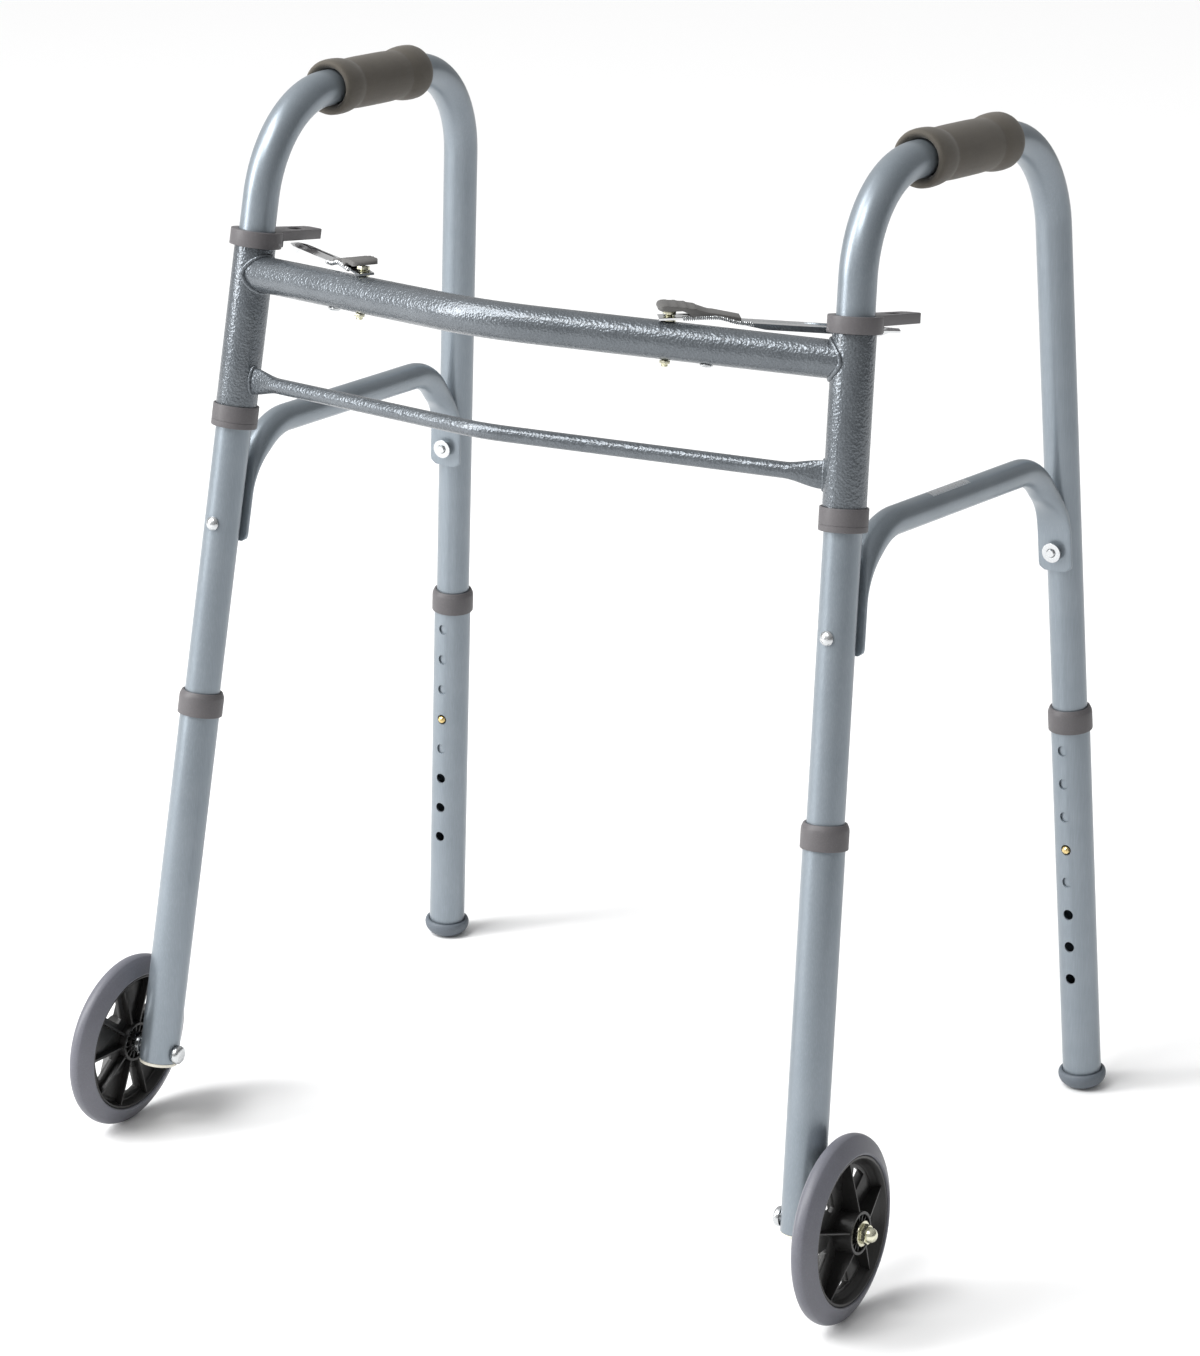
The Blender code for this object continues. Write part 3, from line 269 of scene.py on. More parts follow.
def solid_loft(name, rings):
    shape = bmesh.new()
    rows = [[shape.verts.new(point) for point in section] for section in rings]
    skin(shape, rows)
    shape.faces.new(rows[0][::-1])
    shape.faces.new(rows[-1])
    mesh = bpy.data.meshes.new(name)
    shape.to_mesh(mesh)
    shape.free()
    return outward(link(name, mesh))


def as_mesh(name, shape):
    mesh = bpy.data.meshes.new(name)
    shape.to_mesh(mesh)
    shape.free()
    return mesh


def lathe(name, profile, steps=FINE, matrix=IDENTITY):
    """Outline of (radius, height) points turned about Z; it closes on itself or ends on the axis."""
    shape = bmesh.new()
    rows = []
    for radius, height in profile:
        count = 1 if radius < 0.001 * MM else steps
        row = []
        for index in range(count):
            angle = 2.0 * math.pi * index / steps
            row.append(shape.verts.new((radius * math.cos(angle), radius * math.sin(angle), height)))
        rows.append(row)
    pairs = list(zip(rows, rows[1:]))
    if len(rows[0]) > 1 and len(rows[-1]) > 1:
        pairs.append((rows[-1], rows[0]))
    for low, high in pairs:
        for index in range(steps):
            after = (index + 1) % steps
            if len(low) == 1 and len(high) == 1:
                continue
            if len(low) == 1:
                shape.faces.new((low[0], high[after], high[index]))
            elif len(high) == 1:
                shape.faces.new((low[index], low[after], high[0]))
            else:
                shape.faces.new((low[index], low[after], high[after], high[index]))
    return outward(link(name, as_mesh(name, shape), matrix))


def eased(points, radius, steps=3):
    """Outline whose corners are rounded; a point's third value overrides the radius."""
    result = []
    count = len(points)
    for index, point in enumerate(points):
        here = Vector(point[:2])
        size = point[2] if len(point) > 2 else radius
        before = Vector(points[index - 1][:2])
        after = Vector(points[(index + 1) % count][:2])
        on_axis = abs(here.x) < 0.001 * MM
        arriving, leaving = here - before, after - here
        if size == 0.0 or on_axis or arriving.length == 0.0 or leaving.length == 0.0:
            result.append((here.x, here.y))
            continue
        reach = min(size, 0.45 * arriving.length, 0.45 * leaving.length)
        start = here - arriving.normalized() * reach
        end = here + leaving.normalized() * reach
        for step in range(steps + 1):
            share = step / steps
            spot = start * (1 - share) ** 2 + here * 2 * share * (1 - share) + end * share ** 2
            result.append((spot.x, spot.y))
    return result


def ring(name, outer, bore, bottom, top, ease=0.4 * MM, steps=FINE, matrix=IDENTITY):
    profile = [(outer, top), (outer, bottom), (bore, bottom), (bore, top)]
    return lathe(name, eased(profile, ease), steps, matrix)


def rod(name, radius, bottom, top, steps=COARSE, matrix=IDENTITY):
    return lathe(name, [(0.0, top), (radius, top), (radius, bottom), (0.0, bottom)], steps, matrix)


def plate(name, loops, thickness, matrix=IDENTITY, bevel=0.0, segments=3):
    """Flat outline in local XY, further loops being holes, centred on Z = 0, with softened edges."""
    curve = bpy.data.curves.new(name, "CURVE")
    curve.dimensions = "2D"
    curve.fill_mode = "BOTH"
    curve.extrude = thickness / 2
    for loop in loops:
        spline = curve.splines.new("POLY")
        spline.points.add(len(loop) - 1)
        for target, point in zip(spline.points, loop):
            target.co = (point[0], point[1], 0.0, 1.0)
        spline.use_cyclic_u = True
    item = bpy.data.objects.new(name, curve)
    bpy.context.scene.collection.objects.link(item)
    item = bake(item)
    shape = bmesh.new()
    shape.from_mesh(item.data)
    bmesh.ops.remove_doubles(shape, verts=shape.verts, dist=0.01 * MM)
    bmesh.ops.dissolve_limit(shape, angle_limit=math.radians(1.0), verts=shape.verts, edges=shape.edges)
    shape.to_mesh(item.data)
    shape.free()
    outward(item)
    if bevel > 0.0:
        item = softened(item, bevel, segments)
    item.data.transform(matrix)
    return outward(item)


def softened(item, width, segments=3, angle=32.0):
    modifier = item.modifiers.new("Soften", "BEVEL")
    modifier.width = width
    modifier.segments = segments
    modifier.limit_method = "ANGLE"
    modifier.angle_limit = math.radians(angle)
    return bake(item)


def combine(item, tool, operation):
    """Boolean with a tool that is used up."""
    modifier = item.modifiers.new(operation.title(), "BOOLEAN")
    modifier.operation = operation
    modifier.solver = "EXACT"
    modifier.object = tool
    result = bake(item)
    bpy.data.objects.remove(tool)
    return result


def drill(item, matrix, radius, bottom, top, steps=COARSE):
    return combine(item, rod("drill", radius, bottom, top, steps, matrix), "DIFFERENCE")


def joined(name, items):
    """One object from several closed shells."""
    shape = bmesh.new()
    for item in items:
        shape.from_mesh(item.data)
        bpy.data.objects.remove(item)
    return link(name, as_mesh(name, shape))


def sweep(name, points, side, radius, wall=0.0, sides=FINE):
    """Round bar or tube along a path that lies in the plane square to side."""
    outer, inner = [], []
    for index, point in enumerate(points):
        along = (points[min(index + 1, len(points) - 1)] - points[max(index - 1, 0)]).normalized()
        across = side.cross(along).normalized()
        ring_of = []
        for step in range(sides):
            angle = 2.0 * math.pi * step / sides
            ring_of.append(side * math.cos(angle) + across * math.sin(angle))
        outer.append([point + spoke * radius for spoke in ring_of])
        inner.append([point + spoke * (radius - wall) for spoke in ring_of])
    if wall > 0.0:
        return hollow_loft(name, outer, inner)
    return solid_loft(name, outer)


def free_tube(name, points, radius, sides=10, closed=False):
    """Round wire along any path, by a bevelled curve."""
    curve = bpy.data.curves.new(name, "CURVE")
    curve.dimensions = "3D"
    curve.bevel_depth = radius
    curve.bevel_resolution = max(sides // 2 - 2, 0)
    curve.use_fill_caps = not closed
    spline = curve.splines.new("POLY")
    spline.points.add(len(points) - 1)
    for target, point in zip(spline.points, points):
        target.co = (*point, 1.0)
    spline.use_cyclic_u = closed
    item = bpy.data.objects.new(name, curve)
    bpy.context.scene.collection.objects.link(item)
    return outward(bake(item))


def arc(centre_x, centre_y, radius, start, end, steps):
    """Points of a flat arc, angles in degrees."""
    points = []
    for index in range(steps + 1):
        angle = math.radians(start + (end - start) * index / steps)
        points.append((centre_x + radius * math.cos(angle), centre_y + radius * math.sin(angle)))
    return points


def line_crossing(first, first_dir, second, second_dir):
    """Crossing of two lines in the (y, z) plane."""
    turn = first_dir.x * second_dir.y - first_dir.y * second_dir.x
    gap = second - first
    return first + first_dir * ((gap.x * second_dir.y - gap.y * second_dir.x) / turn)


def rounded_corner(corner, arriving, leaving, radius):
    """Points of the arc that rounds a corner of a path in the (y, z) plane."""
    turn = arriving.angle(leaving)
    reach = radius * math.tan(turn / 2)
    start = corner - arriving * reach
    side = (leaving - arriving * leaving.dot(arriving)).normalized()
    points = []
    for index in range(BEND_STEPS + 1):
        angle = turn * index / BEND_STEPS
        points.append(start + arriving * radius * math.sin(angle)
                      + side * radius * (1.0 - math.cos(angle)))
    return points


def arch(front_foot, rear_foot, run_point, run_slope, radius):
    """Two rounded corners of a frame whose sides follow the legs and whose top is straight."""
    up_front = Vector((FRONT_RAKE, 1.0)).normalized()
    up_rear = Vector((REAR_RAKE, 1.0)).normalized()
    back = Vector((1.0, run_slope)).normalized()
    front_corner = line_crossing(front_foot, up_front, run_point, back)
    rear_corner = line_crossing(rear_foot, up_rear, run_point, back)
    return (rounded_corner(front_corner, up_front, back, radius)
            + rounded_corner(rear_corner, back, -up_rear, radius))


def bar_point(x, height, angle, bend):
    """Centreline of a crossbar: straight from the sleeve, then bent round its middle."""
    end = front_point(height)
    straight = end.x - bend * math.sin(angle)
    depth = straight * math.tan(angle) + bend * (1.0 - math.cos(angle))
    if abs(x) < bend * math.sin(angle):
        bow = depth - bend + math.sqrt(bend * bend - x * x)
    else:
        bow = (end.x - abs(x)) * math.tan(angle)
    forward = Vector((0.0, -FRONT_AXIS.z, FRONT_AXIS.y)).normalized()
    return Vector((x, end.y, end.z)) + forward * bow


def bar_stations(height, angle, bend):
    """X of a crossbar's stations: its ends, and steps round its middle bend."""
    end = front_point(height).x
    half = bend * math.sin(angle)
    middle = [half * (2.0 * index / BEND_STEPS - 1.0) for index in range(BEND_STEPS + 1)]
    return [-end, *middle, end]


# ---------------------------------------------------------------- materials

def noise_node(nodes, links, coords, scale, detail=2.0, roughness=0.5, stretch=None):
    """Noise over object coordinates, in cells of 1 / scale metres."""
    noise = nodes.new("ShaderNodeTexNoise")
    noise.inputs["Scale"].default_value = scale
    noise.inputs["Detail"].default_value = detail
    noise.inputs["Roughness"].default_value = roughness
    if stretch:
        mapping = nodes.new("ShaderNodeMapping")
        mapping.inputs["Scale"].default_value = stretch
        links.new(coords.outputs["Object"], mapping.inputs["Vector"])
        links.new(mapping.outputs["Vector"], noise.inputs["Vector"])
    else:
        links.new(coords.outputs["Object"], noise.inputs["Vector"])
    return noise


def blend_range(nodes, links, value, low, high, start=0.3, end=0.7):
    """Numbers from low to high as value goes from start to end."""
    ranged = nodes.new("ShaderNodeMapRange")
    ranged.inputs["From Min"].default_value = start
    ranged.inputs["From Max"].default_value = end
    ranged.inputs["To Min"].default_value = low
    ranged.inputs["To Max"].default_value = high
    links.new(value, ranged.inputs["Value"])
    return ranged.outputs["Result"]


def mixed_colour(nodes, links, factor, first, second):
    mix = nodes.new("ShaderNodeMix")
    mix.data_type = "RGBA"
    mix.inputs["A"].default_value = (*first, 1.0)
    mix.inputs["B"].default_value = (*second, 1.0)
    links.new(factor, mix.inputs["Factor"])
    return mix.outputs["Result"]


def layered_colour(nodes, links, factor, base, second):
    mix = nodes.new("ShaderNodeMix")
    mix.data_type = "RGBA"
    links.new(base, mix.inputs["A"])
    mix.inputs["B"].default_value = (*second, 1.0)
    links.new(factor, mix.inputs["Factor"])
    return mix.outputs["Result"]


def bump(nodes, links, shader, height, distance, strength=1.0, before=None):
    node = nodes.new("ShaderNodeBump")
    node.inputs["Distance"].default_value = distance
    node.inputs["Strength"].default_value = strength
    links.new(height, node.inputs["Height"])
    if before:
        links.new(before.outputs["Normal"], node.inputs["Normal"])
    links.new(node.outputs["Normal"], shader.inputs["Normal"])
    return node


def surface(name, colour, shade, cell, roughness, metallic=0.0, grain=None, blotch=40.0, stretch=None,
            specular=None, coat=0.0, sheen=0.0, spread=0.06):
    """Shader whose colour runs between two shades and whose roughness and height have a fine grain.

    cell is the number of grain cells per metre; grain is (bump depth in metres, noise detail).
    """
    material = bpy.data.materials.new(name)
    material.use_nodes = True
    nodes, links = material.node_tree.nodes, material.node_tree.links
    shader = nodes["Principled BSDF"]
    shader.inputs["Metallic"].default_value = metallic
    if specular is not None:
        shader.inputs["Specular IOR Level"].default_value = specular
    if coat > 0.0:
        shader.inputs["Coat Weight"].default_value = coat
        shader.inputs["Coat Roughness"].default_value = 0.12
    if sheen > 0.0:
        shader.inputs["Sheen Weight"].default_value = sheen
        shader.inputs["Sheen Roughness"].default_value = 0.4
    coords = nodes.new("ShaderNodeTexCoord")
    broad = noise_node(nodes, links, coords, blotch, 3.0)
    fine = noise_node(nodes, links, coords, cell, 3.0, 0.6, stretch)
    broad_share = blend_range(nodes, links, broad.outputs["Fac"], 0.0, 1.0)
    tone = mixed_colour(nodes, links, broad_share, colour, shade)
    speck = blend_range(nodes, links, fine.outputs["Fac"], 0.0, 0.35, 0.45, 0.75)
    lighter = tuple(min(channel * 1.35 + 0.01, 1.0) for channel in colour)
    links.new(layered_colour(nodes, links, speck, tone, lighter), shader.inputs["Base Color"])
    rough = blend_range(nodes, links, fine.outputs["Fac"], roughness - spread, roughness + spread)
    links.new(rough, shader.inputs["Roughness"])
    if grain:
        depth, detail = grain
        relief = noise_node(nodes, links, coords, cell, detail, 0.55, stretch)
        bump(nodes, links, shader, relief.outputs["Fac"], depth)
    return material


def hammertone_material():
    """Dark grey metallic paint that dried in shallow pebbles."""
    material = surface("hammertone", (0.135, 0.15, 0.165), (0.105, 0.118, 0.132), 900.0, 0.30, 0.6,
                       coat=0.25)
    nodes, links = material.node_tree.nodes, material.node_tree.links
    shader = nodes["Principled BSDF"]
    coords = nodes.new("ShaderNodeTexCoord")
    cells = nodes.new("ShaderNodeTexVoronoi")
    cells.feature = "SMOOTH_F1"
    cells.inputs["Scale"].default_value = 620.0
    cells.inputs["Smoothness"].default_value = 0.6
    links.new(coords.outputs["Object"], cells.inputs["Vector"])
    broad = noise_node(nodes, links, coords, 260.0, 2.0)
    first = nodes.new("ShaderNodeBump")
    first.inputs["Distance"].default_value = 0.0004
    first.inputs["Strength"].default_value = 0.8
    links.new(cells.outputs["Distance"], first.inputs["Height"])
    bump(nodes, links, shader, broad.outputs["Fac"], 0.0005, 0.7, first)
    return material


def foam_material():
    """Warm grey closed foam: fine pores over a slightly uneven skin."""
    material = surface("grip_foam", (0.098, 0.088, 0.074), (0.084, 0.076, 0.064), 1500.0, 0.82, 0.0,
                       specular=0.25, sheen=0.15)
    nodes, links = material.node_tree.nodes, material.node_tree.links
    shader = nodes["Principled BSDF"]
    coords = nodes.new("ShaderNodeTexCoord")
    pores = nodes.new("ShaderNodeTexVoronoi")
    pores.inputs["Scale"].default_value = 1300.0
    links.new(coords.outputs["Object"], pores.inputs["Vector"])
    waves = noise_node(nodes, links, coords, 180.0, 3.0)
    first = nodes.new("ShaderNodeBump")
    first.inputs["Distance"].default_value = 0.00022
    first.inputs["Strength"].default_value = 0.5
    links.new(pores.outputs["Distance"], first.inputs["Height"])
    bump(nodes, links, shader, waves.outputs["Fac"], 0.0003, 0.35, first)
    return material


def make_materials():
    """Name to (material, the record's slot)."""
    streaks = (1.0, 1.0, 0.03)
    return {
        "tube": (surface("satin_tube", (0.237, 0.271, 0.303), (0.217, 0.251, 0.282), 1800.0, 0.36, 0.55,
                         grain=(0.000012, 2.0), stretch=streaks, coat=0.08), "anodised_tube"),
        "hammertone": (hammertone_material(), "hammertone"),
        "plastic": (surface("collar_plastic", (0.105, 0.099, 0.103), (0.093, 0.088, 0.092), 1100.0, 0.48,
                            grain=(0.00003, 4.0), specular=0.4), "grey_plastic"),
        "pad": (surface("pad_plastic", (0.115, 0.112, 0.108), (0.10, 0.098, 0.095), 1100.0, 0.45,
                        grain=(0.00003, 4.0), specular=0.4), "grey_plastic"),
        "grip": (foam_material(), "grip_vinyl"),
        "zinc": (surface("zinc", (0.60, 0.61, 0.62), (0.50, 0.52, 0.53), 700.0, 0.25, 1.0,
                         grain=(0.00001, 3.0)), "zinc"),
        "yellow_zinc": (surface("yellow_zinc", (0.72, 0.71, 0.56), (0.62, 0.60, 0.46), 700.0, 0.24, 1.0,
                                grain=(0.00001, 3.0)), "zinc"),
        "brass": (surface("brass", (0.78, 0.60, 0.28), (0.66, 0.48, 0.2), 800.0, 0.2, 1.0,
                          grain=(0.000008, 3.0)), "brass"),
        "chrome": (surface("chrome", (0.80, 0.81, 0.82), (0.70, 0.71, 0.72), 900.0, 0.12, 1.0,
                           grain=(0.000008, 2.0), spread=0.05), "chrome"),
        "tyre": (surface("tyre", (0.133, 0.135, 0.158), (0.120, 0.122, 0.142), 900.0, 0.42,
                         grain=(0.00003, 5.0), specular=0.45), "tyre_rubber"),
        "hub": (surface("hub_plastic", (0.010, 0.0098, 0.0095), (0.014, 0.0135, 0.013), 900.0, 0.38,
                        grain=(0.00004, 4.0), specular=0.5), "hub_plastic"),
        "nylon": (surface("nylon", (0.76, 0.73, 0.63), (0.70, 0.67, 0.58), 600.0, 0.45,
                          grain=(0.00002, 3.0)), "nylon"),
        "glide": (surface("glide_rubber", (0.113, 0.131, 0.152), (0.10, 0.117, 0.137), 1000.0, 0.55,
                          grain=(0.00004, 4.0), specular=0.4), "glide_rubber"),
        "foil": (surface("blank_label", (0.46, 0.48, 0.50), (0.42, 0.44, 0.46), 500.0, 0.3, 0.7,
                         grain=(0.00001, 2.0)), "anodised_tube"),
    }


# ---------------------------------------------------------------- placing finished pieces

MATERIALS = make_materials()


def dress(item, look, sharp=32.0):
    item.data.materials.clear()
    item.data.materials.append(MATERIALS[look][0])
    item.data.shade_smooth()
    item.data.set_sharp_from_angle(angle=math.radians(sharp))


def register(item, name, body, nodes):
    item.name = name
    item.data.name = name
    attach(item, body)
    if nodes:
        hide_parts(*nodes)


def add_pair(item, name, look, body, nodes=(), sharp=32.0):
    """Left piece and its mirrored right twin; body is without its side unless it is the front frame."""
    dress(item, look, sharp)
    mesh = item.data.copy()
    mesh.transform(MIRROR)
    mesh.flip_normals()
    twin = bpy.data.objects.new(name, mesh)
    bpy.context.scene.collection.objects.link(twin)
    for side, piece in (("left_", item), ("right_", twin)):
        home = body if body == "front_frame" else side + body
        register(piece, side + name, home, [side + node for node in nodes])


def add_single(item, name, look, body, nodes=()):
    dress(item, look)
    register(item, name, body, nodes)


# ---------------------------------------------------------------- side frame

def make_side_tube():
    flat = arch(Vector((FRONT_FOOT_Y, 0.0)), Vector((REAR_FOOT_Y, 0.0)), Vector((TOP_RUN_Y, TOP_RUN_Z)),
                TOP_RUN_SLOPE, BEND_RADIUS)
    points = [front_point(FRONT_LEG_END_Z)]
    points += [side_point(point.x, point.y) for point in flat]
    points.append(rear_point(REAR_LEG_END_Z))
    item = sweep("side_tube", points, SIDE_NORMAL, LEG_RADIUS, LEG_WALL)
    reach = 2.0 * LEG_RADIUS
    for matrix in (front_matrix(FRONT_BRACE_BOLT_Z), rear_matrix(REAR_BRACE_BOLT_Z)):
        item = drill(item, matrix @ Matrix.Rotation(math.radians(90.0), 4, "X"),
                     BOLT_RADIUS + GAP, -reach, reach)
    item = drill(item, front_button_matrix(), HOLE_RADIUS, 0.0, reach)
    return drill(item, rear_button_matrix(), HOLE_RADIUS, 0.0, reach)


GRIP_BARREL_RADIUS = 18.1 * MM        # the foam between the two bulged ends


def make_grip():
    """Foam grip: bulged ends that open round the tube, a shallow crease, and a slight barrel between."""
    start = side_point(GRIP_FRONT_Y, TOP_RUN_Z + TOP_RUN_SLOPE * (GRIP_FRONT_Y - TOP_RUN_Y))
    along = side_point(1.0, TOP_RUN_SLOPE) - side_point(0.0, 0.0)
    half = GRIP_LENGTH / 2
    centre = start + along.normalized() * half
    crown = GRIP_FLANGE_RADIUS / MM
    barrel = GRIP_BARREL_RADIUS / MM
    end = [(crown - 4.4, 0.9), (crown - 3.2, 0.15), (crown - 1.9, 0.2), (crown - 0.9, 1.3), (crown - 0.25, 3.6),
           (crown, 7.5), (crown - 0.05, 12.0), (crown - 0.3, 16.0), (crown - 0.8, 19.5), (crown - 1.5, 22.5),
           (barrel - 0.65, 25.0), (barrel - 0.6, 26.5), (barrel - 0.35, 30.0), (barrel - 0.1, 37.0),
           (barrel, 47.0)]
    front = [(radius * MM, half - depth * MM) for radius, depth in end]
    back = [(radius, -height) for radius, height in reversed(front)]
    bore = LEG_RADIUS + GAP
    throat = 7.0 * MM
    profile = front + back + [(bore + 1.6 * MM, -half + 2.2 * MM), (bore, -half + throat), (bore, half - throat),
                              (bore + 1.6 * MM, half - 2.2 * MM)]
    return lathe("handgrip", profile, 72, axes_matrix(centre, SIDE_NORMAL, along))

def pressed_flat(distance, plate_length):
    """1 on a brace's plate, falling smoothly to 0 where the tube is round again."""
    ratio = (distance - plate_length) / BRACE_CRUSH_LENGTH
    ratio = min(max(ratio, 0.0), 1.0)
    return 1.0 - ratio * ratio * (3.0 - 2.0 * ratio)


def brace_section(centre, outwards, flatness, inset, count=36):
    """Closed section of the brace: round where flatness is 0, a flat plate where it is 1."""
    half_width = BRACE_RADIUS + (BRACE_PLATE_HALF_WIDTH - BRACE_RADIUS) * flatness - inset
    half_depth = BRACE_RADIUS + (BRACE_PLATE_HALF_THICKNESS - BRACE_RADIUS) * flatness - inset
    power = 1.0 - 0.55 * flatness
    points = []
    for index in range(count):
        angle = 2.0 * math.pi * (index + 0.5) / count
        across, deep = math.cos(angle), math.sin(angle)
        x = half_width * math.copysign(abs(across) ** power, across)
        y = half_depth * math.copysign(abs(deep) ** power, deep)
        points.append(centre + SIDE_NORMAL * x + outwards * y)
    return points

def brace_path():
    """Brace centreline on the legs' seats as (y, z) points, closely spaced where it is pressed flat."""
    seat = LEG_RADIUS + GAP + BRACE_PLATE_HALF_THICKNESS
    front_seat = Vector((FRONT_FOOT_Y + seat * math.hypot(1.0, FRONT_RAKE), 0.0))
    rear_seat = Vector((REAR_FOOT_Y - seat * math.hypot(1.0, REAR_RAKE), 0.0))
    bends = arch(front_seat, rear_seat, Vector((BRACE_RUN_Y, BRACE_RUN_Z)), BRACE_RUN_SLOPE,
                 BRACE_BEND_RADIUS)

    def straight(foot, rake, end_z, until):
        count = 14
        return [Vector((foot.x + rake * (end_z + (until - end_z) * index / count),
                        end_z + (until - end_z) * index / count)) for index in range(count)]

    front = straight(front_seat, FRONT_RAKE, FRONT_BRACE_END_Z, bends[0].y)
    rear = straight(rear_seat, REAR_RAKE, REAR_BRACE_END_Z, bends[-1].y)
    return front + bends + rear[::-1]


def make_brace():
    path = brace_path()
    run = [0.0]
    for before, after in zip(path, path[1:]):
        run.append(run[-1] + (after - before).length)
    outer, inner = [], []
    for index, point in enumerate(path):
        heading = (path[min(index + 1, len(path) - 1)] - path[max(index - 1, 0)]).normalized()
        along = side_point(heading.x, heading.y) - side_point(0.0, 0.0)
        outwards = SIDE_NORMAL.cross(along).normalized()
        flatness = max(pressed_flat(run[index], FRONT_PLATE_LENGTH),
                       pressed_flat(run[-1] - run[index], REAR_PLATE_LENGTH))
        clear = (BRACE_RADIUS - BRACE_PLATE_HALF_THICKNESS) * (1.0 - flatness)
        centre = side_point(point.x, point.y) - outwards * clear
        # The plate's free corners are cut round.
        edge = min(run[index], run[-1] - run[index]) / (5.0 * MM)
        trim = 0.0 if edge >= 1.0 else 4.0 * MM * (1.0 - math.sqrt(edge * (2.0 - edge)))
        section = brace_section(centre, outwards, flatness, 0.0)
        hollow = brace_section(centre, outwards, flatness, BRACE_WALL)
        if trim > 0.0:
            width = BRACE_PLATE_HALF_WIDTH
            section = [spot - SIDE_NORMAL * ((spot - centre).dot(SIDE_NORMAL) * trim / width) for spot in section]
            hollow = [spot - SIDE_NORMAL * ((spot - centre).dot(SIDE_NORMAL) * trim / width) for spot in hollow]
        outer.append(section)
        inner.append(hollow)
    item = hollow_loft("brace", outer, inner)
    reach = 30.0 * MM
    for matrix in (front_matrix(FRONT_BRACE_BOLT_Z), rear_matrix(REAR_BRACE_BOLT_Z)):
        item = drill(item, matrix @ Matrix.Rotation(math.radians(90.0), 4, "X"), BOLT_RADIUS + GAP,
                     -reach, reach)
    return item


def make_brace_label():
    """Blank foil label, a thin curved patch on the top of the left brace's run."""
    centre_y = 42.0 * MM
    half_length = 26.0 * MM
    spread = 38.0
    lift = 0.12 * MM
    leaning = -14.0
    slope = Vector((1.0, BRACE_RUN_SLOPE)).normalized()
    along = (side_point(slope.x, slope.y) - side_point(0.0, 0.0)).normalized()
    outwards = SIDE_NORMAL.cross(along).normalized()
    seat_line = BRACE_RUN_Z + BRACE_RUN_SLOPE * (centre_y - BRACE_RUN_Y)
    centre = side_point(centre_y, seat_line) - outwards * (BRACE_RADIUS - BRACE_PLATE_HALF_THICKNESS)
    upward = outwards if outwards.z > 0.0 else -outwards
    rows = []
    for length in (-half_length, -half_length / 3, half_length / 3, half_length):
        skin_points, back_points = [], []
        for step in range(9):
            angle = math.radians(leaning + spread * (step / 8 - 0.5) * 2.0 * 0.5)
            spoke = upward * math.cos(angle) - SIDE_NORMAL * math.sin(angle)
            skin_points.append(centre + along * length + spoke * (BRACE_RADIUS + lift))
            back_points.append(centre + along * length + spoke * (BRACE_RADIUS + 0.03 * MM))
        rows.append(skin_points + back_points[::-1])
    return solid_loft("brace_label", rows)


BOLT_RADIUS = 3.0 * MM
BOLT_HEAD_RADIUS = 4.9 * MM
BOLT_HEAD_HEIGHT = 3.0 * MM
NUT_RADIUS = 6.3 * MM
NUT_HEIGHT = 4.6 * MM


def thread(radius, start, end, pitch=1.0 * MM, depth=0.28 * MM):
    """Profile of a threaded shank from start down to end."""
    count = max(int(abs(start - end) / pitch * 2), 2)
    points = []
    for index in range(count + 1):
        height = start + (end - start) * index / count
        points.append((radius if index % 2 == 0 else radius - depth, height))
    return points


def dome_bolt(name, head_at, shank_end, matrix):
    """Round-headed bolt; the end of its shank is threaded."""
    top = head_at + BOLT_HEAD_HEIGHT
    big = BOLT_HEAD_RADIUS
    dome = [(0.0, top), (0.25 * big, top - 0.06 * MM), (0.5 * big, top - 0.4 * MM), (0.72 * big, top - 1.0 * MM),
            (0.88 * big, top - 1.75 * MM), (0.97 * big, top - 2.5 * MM), (big, head_at + 0.35 * MM),
            (0.98 * big, head_at)]
    shank = [(BOLT_RADIUS, head_at)] + thread(BOLT_RADIUS, shank_end + 9.0 * MM, shank_end + 0.4 * MM)
    shank += [(BOLT_RADIUS - 0.5 * MM, shank_end), (0.0, shank_end)]
    return lathe(name, dome + shank, 32, matrix)


def hexagon(radius, turn=0.0):
    return [(radius * math.cos(math.radians(60.0 * index + turn)),
             radius * math.sin(math.radians(60.0 * index + turn))) for index in range(6)]


def lock_nut(name, bottom, top, matrix, radius=NUT_RADIUS, bore=BOLT_RADIUS + GAP, turn=0.0):
    """Hexagon nut with chamfered corners and the round collar of its nylon insert, on a washer."""
    washer = 0.9 * MM
    collar = 1.5 * MM
    height = top - bottom - washer - collar
    place = Matrix.Translation((0.0, 0.0, bottom + washer + height / 2))
    body = plate(name, [hexagon(radius, turn)], height, place)
    low, high = bottom + washer, bottom + washer + height
    cone = [(0.0, low - 0.1 * MM), (radius * 0.90, low - 0.1 * MM), (radius * 1.01, low + 0.55 * MM),
            (radius * 1.01, high - 0.55 * MM), (radius * 0.88, high + 0.1 * MM), (0.0, high + 0.1 * MM)]
    body = combine(body, lathe("chamfer", cone, FINE), "INTERSECT")
    body = drill(body, IDENTITY, bore, bottom - 1.0 * MM, top + 1.0 * MM, 32)
    neck = ring("neck", radius * 0.80, bore, high - 0.05 * MM, top, 0.5 * MM, 48)
    base = ring("base", radius * 1.12, bore, bottom, low - 0.02 * MM, 0.2 * MM, 48)
    item = joined(name, [body, neck, base])
    item.data.transform(matrix)
    return outward_shells(item)


def outward_shells(item):
    shape = bmesh.new()
    shape.from_mesh(item.data)
    bmesh.ops.recalc_face_normals(shape, faces=shape.faces)
    shape.to_mesh(item.data)
    shape.free()
    return item


